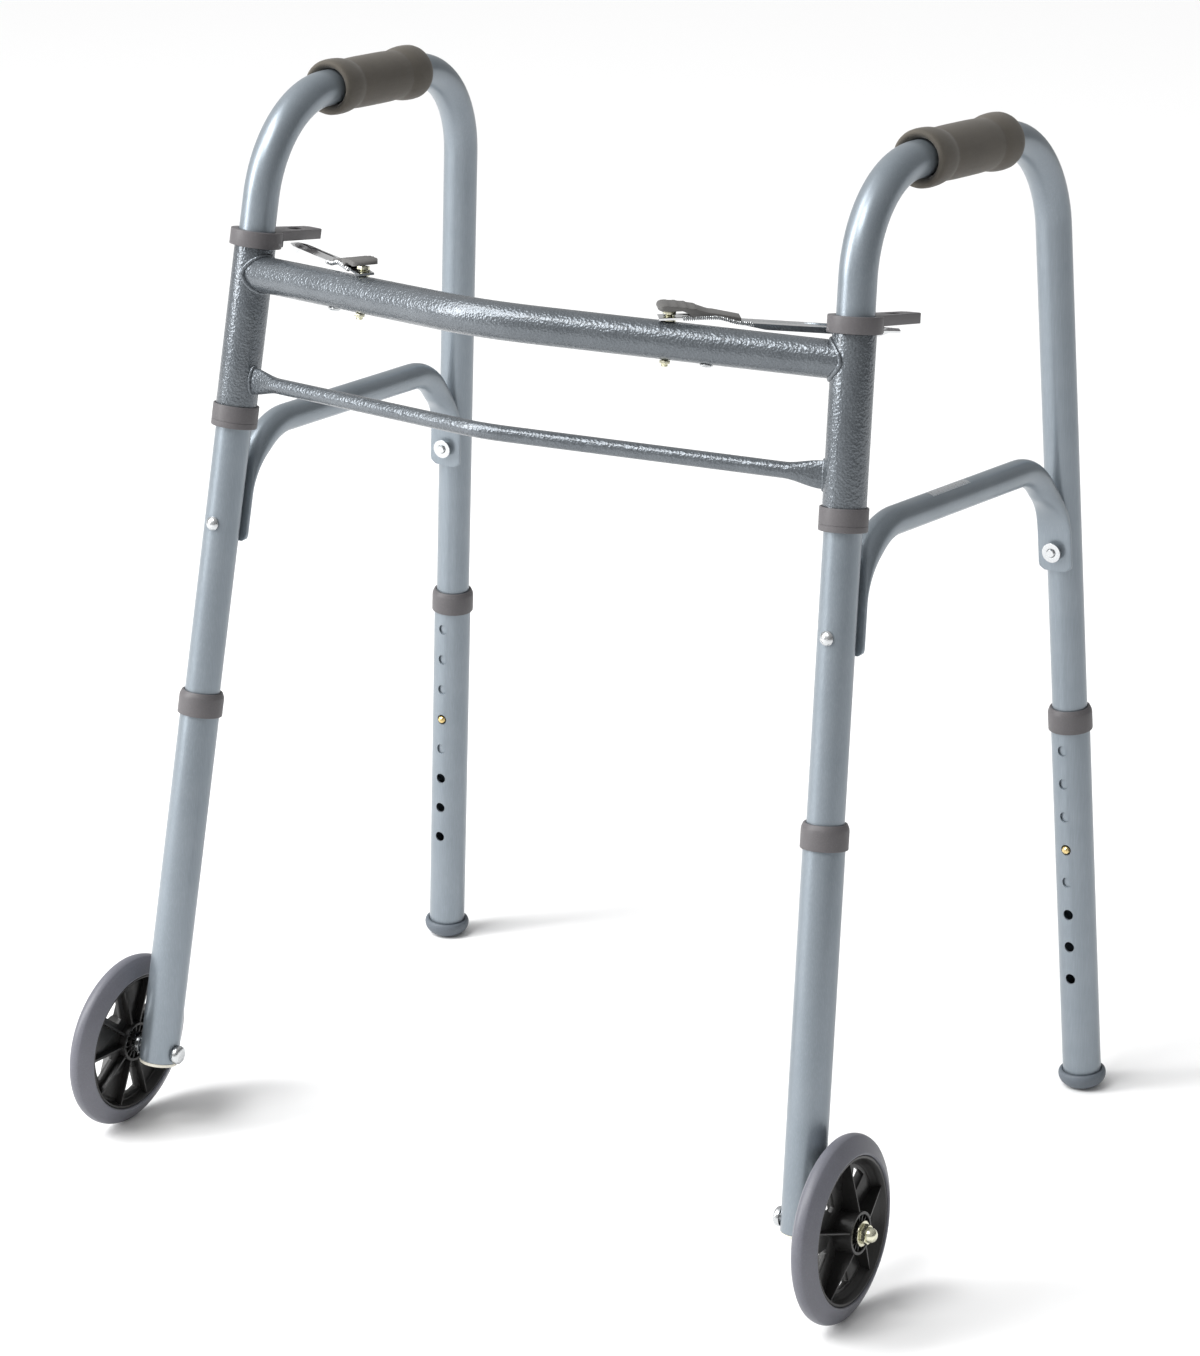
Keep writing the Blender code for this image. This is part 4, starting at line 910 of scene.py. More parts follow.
def add_brace_fasteners():
    forward = Matrix.Rotation(math.radians(90.0), 4, "X")
    backward = Matrix.Rotation(math.radians(-90.0), 4, "X")
    face = LEG_RADIUS + GAP
    seat = LEG_RADIUS + 2.0 * GAP + 2.0 * BRACE_PLATE_HALF_THICKNESS
    end = -seat - NUT_HEIGHT - 1.5 * MM
    for which, matrix in (("front", front_matrix(FRONT_BRACE_BOLT_Z) @ forward),
                          ("rear", rear_matrix(REAR_BRACE_BOLT_Z) @ backward)):
        bolt = which + "_brace_bolt"
        nut = which + "_brace_nut"
        add_pair(dome_bolt(bolt, face, end, matrix), bolt + "_fine", "zinc", "side_frame", (bolt,))
        add_pair(lock_nut(nut, -seat - NUT_HEIGHT, -seat, matrix, turn=12.0), nut + "_fine", "zinc",
                 "side_frame", (nut,), 28.0)


def make_latch_collar():
    """Collar with its ear towards the rear; the ear's slot takes the lever's tip."""
    end_radius = 5.0 * MM
    corner_x = EAR_HALF_WIDTH - end_radius
    corner_y = EAR_LENGTH - end_radius
    outline = arc(0.0, 0.0, COLLAR_RADIUS, 125.0, 415.0, 60)
    outline += arc(corner_x, corner_y, end_radius, 0.0, 90.0, 8)
    outline += arc(-corner_x, corner_y, end_radius, 90.0, 180.0, 8)
    bore = arc(0.0, 0.0, LEG_RADIUS + GAP, 0.0, 354.0, 59)
    slot_radius = EAR_SLOT_WIDTH / 2
    slot_reach = EAR_SLOT_LENGTH / 2 - slot_radius
    slot = arc(0.0, EAR_SLOT_CENTRE + slot_reach, slot_radius, 0.0, 180.0, 16)
    slot += arc(0.0, EAR_SLOT_CENTRE - slot_reach, slot_radius, 180.0, 360.0, 16)
    place = Matrix.Translation((0.0, 0.0, -COLLAR_THICKNESS / 2))
    item = plate("latch_collar", [outline, bore, slot], COLLAR_THICKNESS, place)
    relief_start = COLLAR_RADIUS + 2.0 * MM
    relief_end = EAR_LENGTH + 10.0 * MM
    half = (relief_end - relief_start) / 2
    top = -EAR_THICKNESS
    block = plate("relief", [[(-30.0 * MM, -half), (30.0 * MM, -half), (30.0 * MM, half), (-30.0 * MM, half)]],
                  20.0 * MM, Matrix.Translation((0.0, relief_start + half, top - 10.0 * MM)))
    item = combine(item, block, "DIFFERENCE")
    item = softened(item, 0.9 * MM, 3, 40.0)
    item.data.transform(front_matrix(COLLAR_TOP_Z))
    return outward(item)


# ---------------------------------------------------------------- front frame

def make_sleeve():
    top = (front_point(SLEEVE_TOP_Z) - front_point(BUSHING_BOTTOM_Z)).length
    return ring("sleeve", SLEEVE_RADIUS, SLEEVE_BORE, 4.0 * MM + GAP, top, matrix=front_matrix(BUSHING_BOTTOM_Z))


def make_sleeve_bushing():
    top = (front_point(BUSHING_TOP_Z) - front_point(BUSHING_BOTTOM_Z)).length
    lip = 4.0 * MM
    edge = 0.7 * MM
    seat = SLEEVE_RADIUS + GAP
    bore = LEG_RADIUS + GAP
    line = 0.25 * MM
    profile = [(BUSHING_RADIUS, top, edge), (BUSHING_RADIUS, 4.6 * MM, 0.0), (BUSHING_RADIUS - line, 4.4 * MM, 0.0),
               (BUSHING_RADIUS - line, 4.0 * MM, 0.0), (BUSHING_RADIUS, 3.8 * MM, 0.0),
               (BUSHING_RADIUS, 0.0, edge), (bore, 0.0, 0.3 * MM), (bore, lip, 0.0), (seat, lip, 0.0),
               (seat, top, 0.3 * MM)]
    return lathe("sleeve_bushing", eased(profile, edge), FINE, front_matrix(BUSHING_BOTTOM_Z))


def cope(item, height):
    """Cut a crossbar's ends to fit round the sleeves."""
    for side in (1, -1):
        matrix = front_matrix(height)
        if side < 0:
            matrix = MIRROR @ matrix @ MIRROR
        item = drill(item, matrix, SLEEVE_RADIUS + 0.02 * MM, -60.0 * MM, 60.0 * MM, 96)
    return item


def upper_bar_point(x):
    return bar_point(x, UPPER_BAR_Z, UPPER_BAR_ANGLE, UPPER_BAR_BEND)


def bar_hole_matrix(x):
    """Through the upper bar, square to it."""
    upright = Vector((0.0, FRONT_AXIS.y, FRONT_AXIS.z)).normalized()
    return axes_matrix(upper_bar_point(x), Vector((1.0, 0.0, 0.0)), upright)


def make_upper_crossbar():
    stations = bar_stations(UPPER_BAR_Z, UPPER_BAR_ANGLE, UPPER_BAR_BEND)
    points = [upper_bar_point(x) for x in stations]
    upright = Vector((0.0, FRONT_AXIS.y, FRONT_AXIS.z)).normalized()
    item = sweep("upper_crossbar", points, upright, UPPER_BAR_RADIUS, UPPER_BAR_WALL)
    item = cope(item, UPPER_BAR_Z)
    reach = 2.0 * UPPER_BAR_RADIUS
    for x in (LEVER_BOLT_X, -LEVER_BOLT_X):
        item = drill(item, bar_hole_matrix(x), LEVER_BOLT_RADIUS + GAP, -reach, reach)
    return item


def lower_bar_rings(count=40):
    end = front_point(LOWER_BAR_Z).x
    half = LOWER_BAR_BEND * math.sin(LOWER_BAR_ANGLE)
    side = []
    for index in range(25):
        share = index / 24
        flatness = 1.0 - max(share - 0.35, 0.0) / 0.65
        flatness = flatness * flatness * (3.0 - 2.0 * flatness)
        side.append((end - 2.0 * MM - 38.0 * MM * share, flatness))
    middle = [(half * (1.0 - 2.0 * index / BEND_STEPS), 0.0) for index in range(BEND_STEPS + 1)]
    stations = side + middle + [(-x, flatness) for x, flatness in reversed(side)]
    upright = Vector((0.0, FRONT_AXIS.y, FRONT_AXIS.z)).normalized()
    rings = []
    for x, flatness in stations:
        centre = bar_point(x, LOWER_BAR_Z, LOWER_BAR_ANGLE, LOWER_BAR_BEND)
        before = bar_point(x + 1.0 * MM, LOWER_BAR_Z, LOWER_BAR_ANGLE, LOWER_BAR_BEND)
        after = bar_point(x - 1.0 * MM, LOWER_BAR_Z, LOWER_BAR_ANGLE, LOWER_BAR_BEND)
        depth_dir = upright.cross((after - before).normalized())
        high = LOWER_BAR_RADIUS + (LOWER_TAB_HALF_HEIGHT - LOWER_BAR_RADIUS) * flatness
        deep = LOWER_BAR_RADIUS + (LOWER_TAB_HALF_THICKNESS - LOWER_BAR_RADIUS) * flatness
        section = []
        for index in range(count):
            angle = 2.0 * math.pi * index / count
            section.append(centre + upright * high * math.cos(angle) + depth_dir * deep * math.sin(angle))
        rings.append(section)
    return rings


def make_lower_crossbar():
    return cope(solid_loft("lower_crossbar", lower_bar_rings()), LOWER_BAR_Z)


def on_sleeve(point, heading):
    """Where a line from point along heading meets the left sleeve's outside, coming from inside."""
    foot = front_point(0.0)
    offset = point - foot
    offset -= FRONT_AXIS * offset.dot(FRONT_AXIS)
    flat = heading - FRONT_AXIS * heading.dot(FRONT_AXIS)
    a, b = flat.dot(flat), 2.0 * offset.dot(flat)
    c = offset.dot(offset) - SLEEVE_RADIUS * SLEEVE_RADIUS
    root = max(b * b - 4.0 * a * c, 0.0)
    return point + heading * ((-b + math.sqrt(root)) / (2.0 * a))


def weld_bead(name, section, heading, radius):
    """Rippled fillet of weld round a bar's end, where its section meets the sleeve."""
    points = []
    centre = sum(section, Vector()) / len(section)
    count = len(section)
    for index, spot in enumerate(section):
        away = (spot - centre).normalized()
        ripple = 1.0 + 0.18 * math.sin(index * 2.0 * math.pi * 16 / count)
        points.append(on_sleeve(spot + away * 0.25 * radius * ripple, heading))
    return free_tube(name, points, radius, 12, closed=True)


def make_upper_weld():
    upright = Vector((0.0, FRONT_AXIS.y, FRONT_AXIS.z)).normalized()
    end = upper_bar_point(front_point(UPPER_BAR_Z).x)
    heading = (upper_bar_point(front_point(UPPER_BAR_Z).x - 30.0 * MM) - end).normalized()
    across = upright.cross(heading).normalized()
    section = [end + (upright * math.cos(math.radians(index * 3.0)) + across * math.sin(math.radians(index * 3.0)))
               * UPPER_BAR_RADIUS for index in range(120)]
    return weld_bead("upper_weld", section, heading, 1.7 * MM)


def make_lower_weld():
    rings = lower_bar_rings(96)
    heading = (sum(rings[3], Vector()) - sum(rings[0], Vector())).normalized()
    shift = (sum(rings[0], Vector()) / 96 - front_point(LOWER_BAR_Z)).dot(heading)
    section = [spot - heading * shift for spot in rings[0]]
    return weld_bead("lower_weld", section, heading, 1.4 * MM)


def make_bar_plug_rivet():
    """Shallow rivet in the underside of the upper bar, below the lever."""
    head = -UPPER_BAR_RADIUS - 0.1 * MM
    profile = [(0.0, -8.0 * MM), (LEVER_BOLT_RADIUS, -8.0 * MM), (LEVER_BOLT_RADIUS, head), (4.4 * MM, head),
               (4.3 * MM, head - 0.6 * MM), (3.7 * MM, head - 1.2 * MM), (2.6 * MM, head - 1.7 * MM),
               (0.0, head - 2.1 * MM)]
    return lathe("lever_rivet", profile, 32, bar_hole_matrix(LEVER_RIVET_X))


# ---------------------------------------------------------------- release lever

LEVER_BOLT_RADIUS = 2.4 * MM
LEVER_NUT_RADIUS = 4.6 * MM
LEVER_NUT_BOTTOM = 1.0 * MM         # above the strip
LEVER_NUT_HEIGHT = 2.4 * MM


def lever_height():
    """Underside of the lever's strip above the upper bar's centreline, at the bolt."""
    return UPPER_BAR_RADIUS + LEVER_CLEARANCE


def lever_matrix():
    """At the lever's bolt: local X along the strip to its tip, local Z up."""
    upright = Vector((0.0, FRONT_AXIS.y, FRONT_AXIS.z)).normalized()
    origin = upper_bar_point(LEVER_BOLT_X) + upright * lever_height()
    slot = front_matrix(COLLAR_TOP_Z) @ Vector((0.0, EAR_SLOT_CENTRE, 0.0))
    heading = slot - origin
    heading.z = 0.0
    return axes_matrix(origin, heading, Vector((0.0, 0.0, 1.0)))


def lever_drop(x):
    """How far the strip's underside lies below its level part, along the lever."""
    knee = (x - LEVER_KNEE_START) / (LEVER_KNEE_END - LEVER_KNEE_START)
    if knee <= 0.0:
        return 0.0
    if knee < 1.0:
        return LEVER_KNEE_DROP * knee * knee * (3.0 - 2.0 * knee)
    share = (x - LEVER_KNEE_END) / (LEVER_LENGTH - LEVER_KNEE_END)
    return LEVER_KNEE_DROP + (LEVER_DROP - LEVER_KNEE_DROP) * share


def make_lever_strip():
    """Plated channel: raised edges, a sunken floor, and flanges down both sides past the bar."""
    stations = [-7.0, -6.0, -2.0, 6.0, 14.0, 24.0, 31.0, 34.0, 37.0, 40.0, 43.0, 46.0, 56.0, 62.0, 80.0,
                100.0, 120.0, 136.0, 142.0, 149.0, 150.0]
    wide = LEVER_HALF_WIDTH / MM
    top = LEVER_STRIP / MM
    rings = []
    for x in stations:
        flange = 2.6 * min(max((x - 46.0) / 16.0, 0.0), 1.0) * min(max((142.0 - x) / 6.0, 0.0), 1.0)
        taper = 1.0 if x < 136.0 else 1.0 - 0.45 * (x - 136.0) / 14.0
        sunk = 0.75 * min(max((x - 6.0) / 8.0, 0.0), 1.0) * min(max((142.0 - x) / 6.0, 0.0), 1.0)
        half = wide * taper
        lip = 1.5
        outline = [(-half, -flange), (-half, top - 0.3), (-half + 0.3, top), (-half + lip, top),
                   (-half + lip + 0.5, top - sunk), (half - lip - 0.5, top - sunk), (half - lip, top),
                   (half - 0.3, top), (half, top - 0.3), (half, -flange), (half - 1.1, -flange),
                   (half - 1.2, 0.0), (-half + 1.2, 0.0), (-half + 1.1, -flange)]
        fall = lever_drop(x * MM)
        rings.append([Vector((x * MM, y * MM, z * MM - fall)) for y, z in outline])
    item = solid_loft("lever_strip", rings)
    item = drill(item, IDENTITY, LEVER_BOLT_RADIUS + 1.2 * MM, -5.0 * MM, 5.0 * MM)
    item.data.transform(lever_matrix())
    return outward(item)


def make_lever_pad():
    """Finger pad on the lever: raised over the bolt, with ridges, and a flat tail on the strip."""
    floor = LEVER_STRIP + GAP
    tail = 46.0 * MM
    drop = LEVER_KNEE_DROP * (tail - LEVER_KNEE_START) / (LEVER_KNEE_END - LEVER_KNEE_START)
    thick = 2.2 * MM
    under = [(-7.4 * MM, 7.2 * MM), (-5.0 * MM, 6.6 * MM), (8.0 * MM, 6.5 * MM), (11.5 * MM, 4.9 * MM),
             (15.0 * MM, floor), (LEVER_KNEE_START, floor), (tail, floor - drop)]
    over = [(tail, floor - drop + thick), (LEVER_KNEE_START, floor + thick)]
    for x, height in ((26.5, 4.15), (25.0, 4.45), (21.5, 5.6), (18.0, 6.75), (17.2, 7.3), (16.4, 7.65), (14.5, 7.8),
                      (11.8, 8.2), (11.0, 8.75), (10.2, 9.0), (8.0, 9.0), (5.8, 9.25), (5.0, 9.65), (4.2, 9.8),
                      (2.0, 9.75), (-0.2, 9.9), (-1.0, 10.15), (-2.0, 10.25), (-4.5, 10.1), (-6.6, 9.5), (-7.4, 8.6)):
        over.append((x * MM, height * MM))
    upright = Matrix.Rotation(math.radians(90.0), 4, "X")
    item = plate("lever_pad", [under + over], 2.0 * PAD_HALF_WIDTH, upright)
    # Seen from above the pad narrows towards its tail.
    half = [(-7.8, 6.0, 3.0), (-5.5, 9.0, 2.0), (12.0, 9.0, 3.0), (25.0, 6.4, 3.0), (47.0, 6.0, 2.0)]
    outline = [(x * MM, -y * MM, ease * MM) for x, y, ease in half]
    outline += [(x * MM, y * MM, ease * MM) for x, y, ease in reversed(half)]
    item = combine(item, plate("plan", [eased(outline, 2.0 * MM)], 60.0 * MM), "INTERSECT")
    item = softened(item, 0.45 * MM, 2, 42.0)
    item.data.transform(lever_matrix())
    return outward(item)


def make_lever_bolt():
    """Threaded bolt through the upper bar that carries the lever."""
    seat = lever_height() + LEVER_STRIP + LEVER_NUT_BOTTOM
    top = seat + LEVER_NUT_HEIGHT
    bottom = -UPPER_BAR_RADIUS - 4.5 * MM
    shank = thread(LEVER_BOLT_RADIUS, top - 0.2 * MM, UPPER_BAR_RADIUS - 1.0 * MM, 0.9 * MM, 0.25 * MM)
    tail = thread(LEVER_BOLT_RADIUS, -UPPER_BAR_RADIUS + 1.0 * MM, bottom + 0.3 * MM, 0.9 * MM, 0.25 * MM)
    profile = [(0.0, top)] + shank + tail + [(LEVER_BOLT_RADIUS - 0.5 * MM, bottom), (0.0, bottom)]
    return lathe("lever_bolt", profile, 28, bar_hole_matrix(LEVER_BOLT_X))


def make_lever_nut():
    seat = lever_height() + LEVER_STRIP + LEVER_NUT_BOTTOM
    height = LEVER_NUT_HEIGHT
    place = Matrix.Translation((0.0, 0.0, seat + height / 2))
    body = plate("lever_nut", [hexagon(LEVER_NUT_RADIUS, 10.0)], height, place)
    body = drill(body, IDENTITY, LEVER_BOLT_RADIUS + 0.05 * MM, seat - 1.0 * MM, seat + height + 1.0 * MM)
    body = softened(body, 0.25 * MM, 2, 40.0)
    washer = ring("washer", 4.6 * MM, LEVER_BOLT_RADIUS + 0.1 * MM, UPPER_BAR_RADIUS + 0.1 * MM,
                  UPPER_BAR_RADIUS + 1.1 * MM, 0.2 * MM, 32)
    spacer = ring("spacer", 3.4 * MM, LEVER_BOLT_RADIUS + 0.1 * MM, UPPER_BAR_RADIUS + 1.15 * MM,
                  UPPER_BAR_RADIUS + 2.6 * MM, 0.2 * MM, 32)
    below = ring("below", 3.9 * MM, LEVER_BOLT_RADIUS + 0.1 * MM, -UPPER_BAR_RADIUS - 2.4 * MM,
                 -UPPER_BAR_RADIUS - 0.4 * MM, 0.3 * MM, 6)
    item = joined("lever_nut", [body, washer, spacer, below])
    item.data.transform(bar_hole_matrix(LEVER_BOLT_X))
    return outward_shells(item)


def make_lever_spring():
    """Close-wound spring lying in the strip's channel, from the bolt to the end of the pad's tail."""
    turns = 34
    steps = turns * 10
    wire = 0.42 * MM
    radius = 1.15 * MM
    start = 8.0 * MM
    length = 46.0 * MM
    side = LEVER_HALF_WIDTH + radius + wire + 0.1 * MM
    points = []
    for index in range(steps + 1):
        share = index / steps
        angle = 2.0 * math.pi * turns * share
        x = start + length * share
        points.append(Vector((x, -side + radius * math.cos(angle),
                              1.4 * MM - lever_drop(x) + radius * math.sin(angle))))
    item = free_tube("lever_spring", points, wire, 8)
    item.data.transform(lever_matrix())
    return item


# ---------------------------------------------------------------- leg extensions

def front_button_matrix():
    """Local Z points out of the button's hole, to the rear."""
    return front_matrix(FRONT_BUTTON_Z) @ Matrix.Rotation(math.radians(-90.0), 4, "X")


def rear_button_matrix():
    """Local Z points out of the button's hole, to the front."""
    return rear_matrix(REAR_BUTTON_Z) @ Matrix.Rotation(math.radians(90.0), 4, "X")


def height_along(point_at, from_z, to_z):
    """Signed distance along a leg between two heights."""
    return math.copysign((point_at(to_z) - point_at(from_z)).length, to_z - from_z)


def extension_tube(name, matrix, bottom, top, holes_above, turn):
    """Tube with a row of slightly countersunk holes on one side."""
    item = ring(name, EXTENSION_RADIUS, EXTENSION_BORE, bottom, top, 0.3 * MM, 96)
    facing = Matrix.Rotation(math.radians(turn), 4, "X")
    drills = []
    for index in range(HOLE_COUNT):
        height = HOLE_PITCH * (holes_above - index)
        hole = Matrix.Translation((0.0, 0.0, height)) @ facing
        flare = EXTENSION_RADIUS - 0.35 * MM
        profile = [(0.0, 2.0 * EXTENSION_RADIUS), (HOLE_RADIUS + 1.0 * MM, 2.0 * EXTENSION_RADIUS),
                   (HOLE_RADIUS + 0.3 * MM, EXTENSION_RADIUS + 0.1 * MM), (HOLE_RADIUS, flare - 0.3 * MM),
                   (HOLE_RADIUS, 0.0), (0.0, 0.0)]
        drills.append(lathe("drill", profile, 32, hole))
    item = combine(item, outward_shells(joined("drills", drills)), "DIFFERENCE")
    item.data.transform(matrix)
    return item


def make_front_extension():
    matrix = front_matrix(FRONT_BUTTON_Z)
    bottom = height_along(front_point, FRONT_BUTTON_Z, FRONT_EXTENSION_END_Z)
    top = height_along(front_point, FRONT_BUTTON_Z, FRONT_CLAMP_TOP_Z) - 3.0 * MM
    item = extension_tube("front_extension", matrix, bottom, top, FRONT_HOLES_ABOVE, -90.0)
    return drill(item, wheel_matrix(), AXLE_RADIUS + 2.0 * GAP, -WHEEL_OFFSET - 20.0 * MM, 0.0)


def make_rear_extension():
    matrix = rear_matrix(REAR_BUTTON_Z)
    bottom = height_along(rear_point, REAR_BUTTON_Z, REAR_EXTENSION_END_Z)
    top = height_along(rear_point, REAR_BUTTON_Z, REAR_CLAMP_TOP_Z) - 3.0 * MM
    return extension_tube("rear_extension", matrix, bottom, top, REAR_HOLES_ABOVE, 90.0)


def leg_clamp(name, matrix):
    """Moulded collar at an extension's upper end: a chamfered shoulder over a straight skirt."""
    lip = 3.0 * MM - GAP
    bottom = -CLAMP_LENGTH
    seat = EXTENSION_RADIUS + GAP
    bore = LEG_RADIUS + GAP
    big = CLAMP_RADIUS
    profile = [(big - 1.5 * MM, 0.0, 0.4 * MM), (big - 0.15 * MM, -3.2 * MM, 0.6 * MM), (big, -5.0 * MM, 0.0),
               (big, bottom, 0.6 * MM), (seat, bottom, 0.2 * MM), (seat, -lip, 0.0), (bore, -lip, 0.0),
               (bore, 0.0, 0.3 * MM)]
    return lathe(name, eased(profile, 0.3 * MM), 72, matrix)


def make_glide_cap():
    """Rubber cup with a rolled rim, cut level with the floor."""
    matrix = rear_matrix(0.0)
    top = height_along(rear_point, 0.0, GLIDE_TOP_Z)
    floor = height_along(rear_point, 0.0, REAR_EXTENSION_END_Z) - GAP
    seat = EXTENSION_RADIUS + GAP
    big = GLIDE_RADIUS
    below = -4.0 * MM
    profile = [(0.0, floor), (seat, floor), (seat, top - 0.5 * MM), (seat + 0.4 * MM, top), (big - 1.5 * MM, top),
               (big - 0.8 * MM, top - 0.5 * MM), (big - 0.25 * MM, top - 1.6 * MM), (big, top - 3.2 * MM),
               (big - 0.15 * MM, 8.2 * MM), (big - 0.7 * MM, 6.4 * MM), (big - 1.6 * MM, 4.7 * MM),
               (big - 2.9 * MM, 3.2 * MM), (big - 4.5 * MM, 1.9 * MM), (big - 6.4 * MM, 0.9 * MM),
               (big - 8.5 * MM, 0.2 * MM), (big - 10.0 * MM, below), (0.0, below)]
    item = lathe("glide_cap", profile, 72, matrix)
    shape = bmesh.new()
    shape.from_mesh(item.data)
    geometry = shape.verts[:] + shape.edges[:] + shape.faces[:]
    cut = bmesh.ops.bisect_plane(shape, geom=geometry, plane_co=(0.0, 0.0, 0.0), plane_no=(0.0, 0.0, -1.0),
                                 clear_outer=True)
    rim = [part for part in cut["geom_cut"] if isinstance(part, bmesh.types.BMEdge)]
    bmesh.ops.contextual_create(shape, geom=rim)
    shape.to_mesh(item.data)
    shape.free()
    return outward(item)


def make_end_plug():
    top = 2.6 * MM
    spigot = EXTENSION_BORE - GAP
    rim = EXTENSION_RADIUS - 0.2 * MM
    profile = [(0.0, top), (spigot, top), (spigot, -GAP), (rim, -GAP), (rim, -1.9 * MM), (rim - 0.3 * MM, -2.4 * MM),
               (rim - 1.0 * MM, -2.6 * MM), (0.5 * rim, -2.6 * MM), (0.45 * rim, -2.2 * MM), (0.0, -2.2 * MM)]
    return lathe("end_plug", profile, 64, front_matrix(FRONT_EXTENSION_END_Z))


# ---------------------------------------------------------------- wheels

def make_tyre():
    """Solid tyre: sidewalls sloping in to a narrow tread with a faint edge on each side of it."""
    half = WHEEL_HALF_WIDTH / MM
    tread = WHEEL_RADIUS / MM
    seat = (RIM_RADIUS + GAP) / MM
    outer = [(seat, half - 0.9), (seat + 0.4, half - 0.3), (seat + 1.2, half), (seat + 2.2, half - 0.3),
             (seat + 5.0, half - 1.7), (tread - 4.2, half - 3.6), (tread - 3.0, half - 4.3),
             (tread - 2.0, half - 5.1), (tread - 1.15, half - 5.75), (tread - 1.0, half - 5.9),
             (tread - 0.5, half - 6.9), (tread - 0.15, half - 8.0), (tread, half - 8.9)]
    profile = outer + [(radius, -height) for radius, height in reversed(outer)]
    return lathe("tyre", [(radius * MM, height * MM) for radius, height in profile], WHEEL_STEPS, wheel_matrix())

def hub_block(x_start, x_end, half_y, low, high, turn, y_shift=0.0, taper=1.0):
    """Bar along a spoke, in wheel coordinates, its outer end taper times as wide as its inner one."""
    shape = bmesh.new()
    corners = [(x_start, -half_y), (x_end, -half_y * taper), (x_end, half_y * taper), (x_start, half_y)]
    rows = [[shape.verts.new((x, y + y_shift, z)) for x, y in corners] for z in (low, high)]
    skin(shape, rows)
    shape.faces.new(rows[0][::-1])
    shape.faces.new(rows[1])
    return link("block", as_mesh("block", shape), Matrix.Rotation(math.radians(turn), 4, "Z"))


def hub_rib(turn):
    """Thin rib on the outside, from the boss's outer end down to the rim."""
    inner, outer = HUB_BOSS_RADIUS - 0.6 * MM, RIM_RADIUS - 2.4 * MM
    outline = [(inner, 0.0), (outer, 0.0), (outer, 6.6 * MM), (outer - 3.0 * MM, 7.2 * MM),
               (inner, HUB_BOSS_OUTER - 0.7 * MM)]
    shape = bmesh.new()
    rows = [[shape.verts.new((x, y, z)) for x, z in outline] for y in (-0.5 * MM, 0.5 * MM)]
    skin(shape, rows)
    shape.faces.new(rows[0][::-1])
    shape.faces.new(rows[1])
    return link("rib", as_mesh("rib", shape), Matrix.Rotation(math.radians(turn), 4, "Z"))


HUB_TURN = -21.0                      # degrees, where the first of the outer ribs stands


def make_hub():
    """Dished rim, tall ringed boss, thin ribs outside and five deep channels towards the leg."""
    half = WHEEL_HALF_WIDTH - 1.0 * MM
    rim_in = RIM_RADIUS - 3.0 * MM
    low, high = -2.4 * MM, 0.8 * MM
    section = [(RIM_RADIUS, half), (RIM_RADIUS, -half), (rim_in + 1.4 * MM, -half), (rim_in - 0.8 * MM, low),
               (rim_in - 4.0 * MM, low), (rim_in - 4.0 * MM, high), (rim_in - 2.8 * MM, high + 1.0 * MM),
               (rim_in - 0.8 * MM, high + 3.6 * MM), (rim_in + 1.2 * MM, half)]
    parts = [lathe("rim", eased(section, 0.6 * MM), WHEEL_STEPS)]
    loops = [arc(0.0, 0.0, rim_in - 1.5 * MM, 0.0, 357.0, 119)]
    for index in range(SPOKE_COUNT):
        middle = HUB_TURN + 360.0 * (index + 0.5) / SPOKE_COUNT
        outer = arc(0.0, 0.0, rim_in - 6.0 * MM, middle - 12.0, middle + 12.0, 10)
        apex = arc(0.0, 0.0, HUB_BOSS_RADIUS + 8.0 * MM, middle + 6.0, middle - 6.0, 3)
        ends = (0, len(outer) - 1)
        window = [(x, y, 2.4 * MM if place in ends else 0.0) for place, (x, y) in enumerate(outer)]
        window += [(x, y, 1.6 * MM) for x, y in apex]
        loops.append(eased(window, 2.0 * MM, 4))
    level = Matrix.Translation((0.0, 0.0, (low + high) / 2))
    parts.append(plate("web", loops, high - low, level, bevel=0.35 * MM, segments=2))
    boss, face, bore = HUB_BOSS_RADIUS, HUB_BOSS_OUTER, HUB_BORE + 0.1 * MM
    parts.append(ring("boss_ring", boss, boss - 2.0 * MM, -half, face, 0.35 * MM, 72))
    parts.append(ring("boss_core", 7.4 * MM, bore, -half, face - 0.3 * MM, 0.35 * MM, 48))
    parts.append(ring("boss_floor", boss - 0.5 * MM, bore, 0.0, 3.0 * MM, 0.2 * MM, 72))
    for index in range(15):
        parts.append(hub_block(7.0 * MM, boss - 1.0 * MM, 0.45 * MM, -half + 1.0 * MM, face - 1.2 * MM,
                               HUB_TURN + 24.0 * index))
    for index in range(SPOKE_COUNT):
        turn = HUB_TURN + 360.0 * index / SPOKE_COUNT
        parts.append(hub_rib(turn))
        for side in (-17.5, 17.5):
            parts.append(hub_block(boss - 1.0 * MM, rim_in + 0.8 * MM, 0.7 * MM, -half + 1.2 * MM, low + 0.3 * MM,
                                   turn + side))
    item = joined("hub", parts)
    item.data.transform(wheel_matrix())
    return outward_shells(item)


def make_axle_bolt():
    """Carriage bolt: a low domed head on the leg's inner face."""
    inner_face = -WHEEL_OFFSET - EXTENSION_RADIUS - GAP
    shank_end = HUB_BOSS_OUTER + GAP + 5.0 * MM
    big = 6.8 * MM
    head = inner_face - 5.2 * MM
    profile = [(0.0, shank_end), (AXLE_RADIUS - 0.5 * MM, shank_end), (AXLE_RADIUS, shank_end - 0.5 * MM),
               (AXLE_RADIUS, inner_face), (big - 0.3 * MM, inner_face), (big, inner_face - 0.5 * MM),
               (big, inner_face - 2.6 * MM), (0.94 * big, inner_face - 3.7 * MM), (0.8 * big, inner_face - 4.5 * MM),
               (0.55 * big, head + 0.2 * MM), (0.0, head)]
    return lathe("axle_bolt", profile, 40, wheel_matrix())


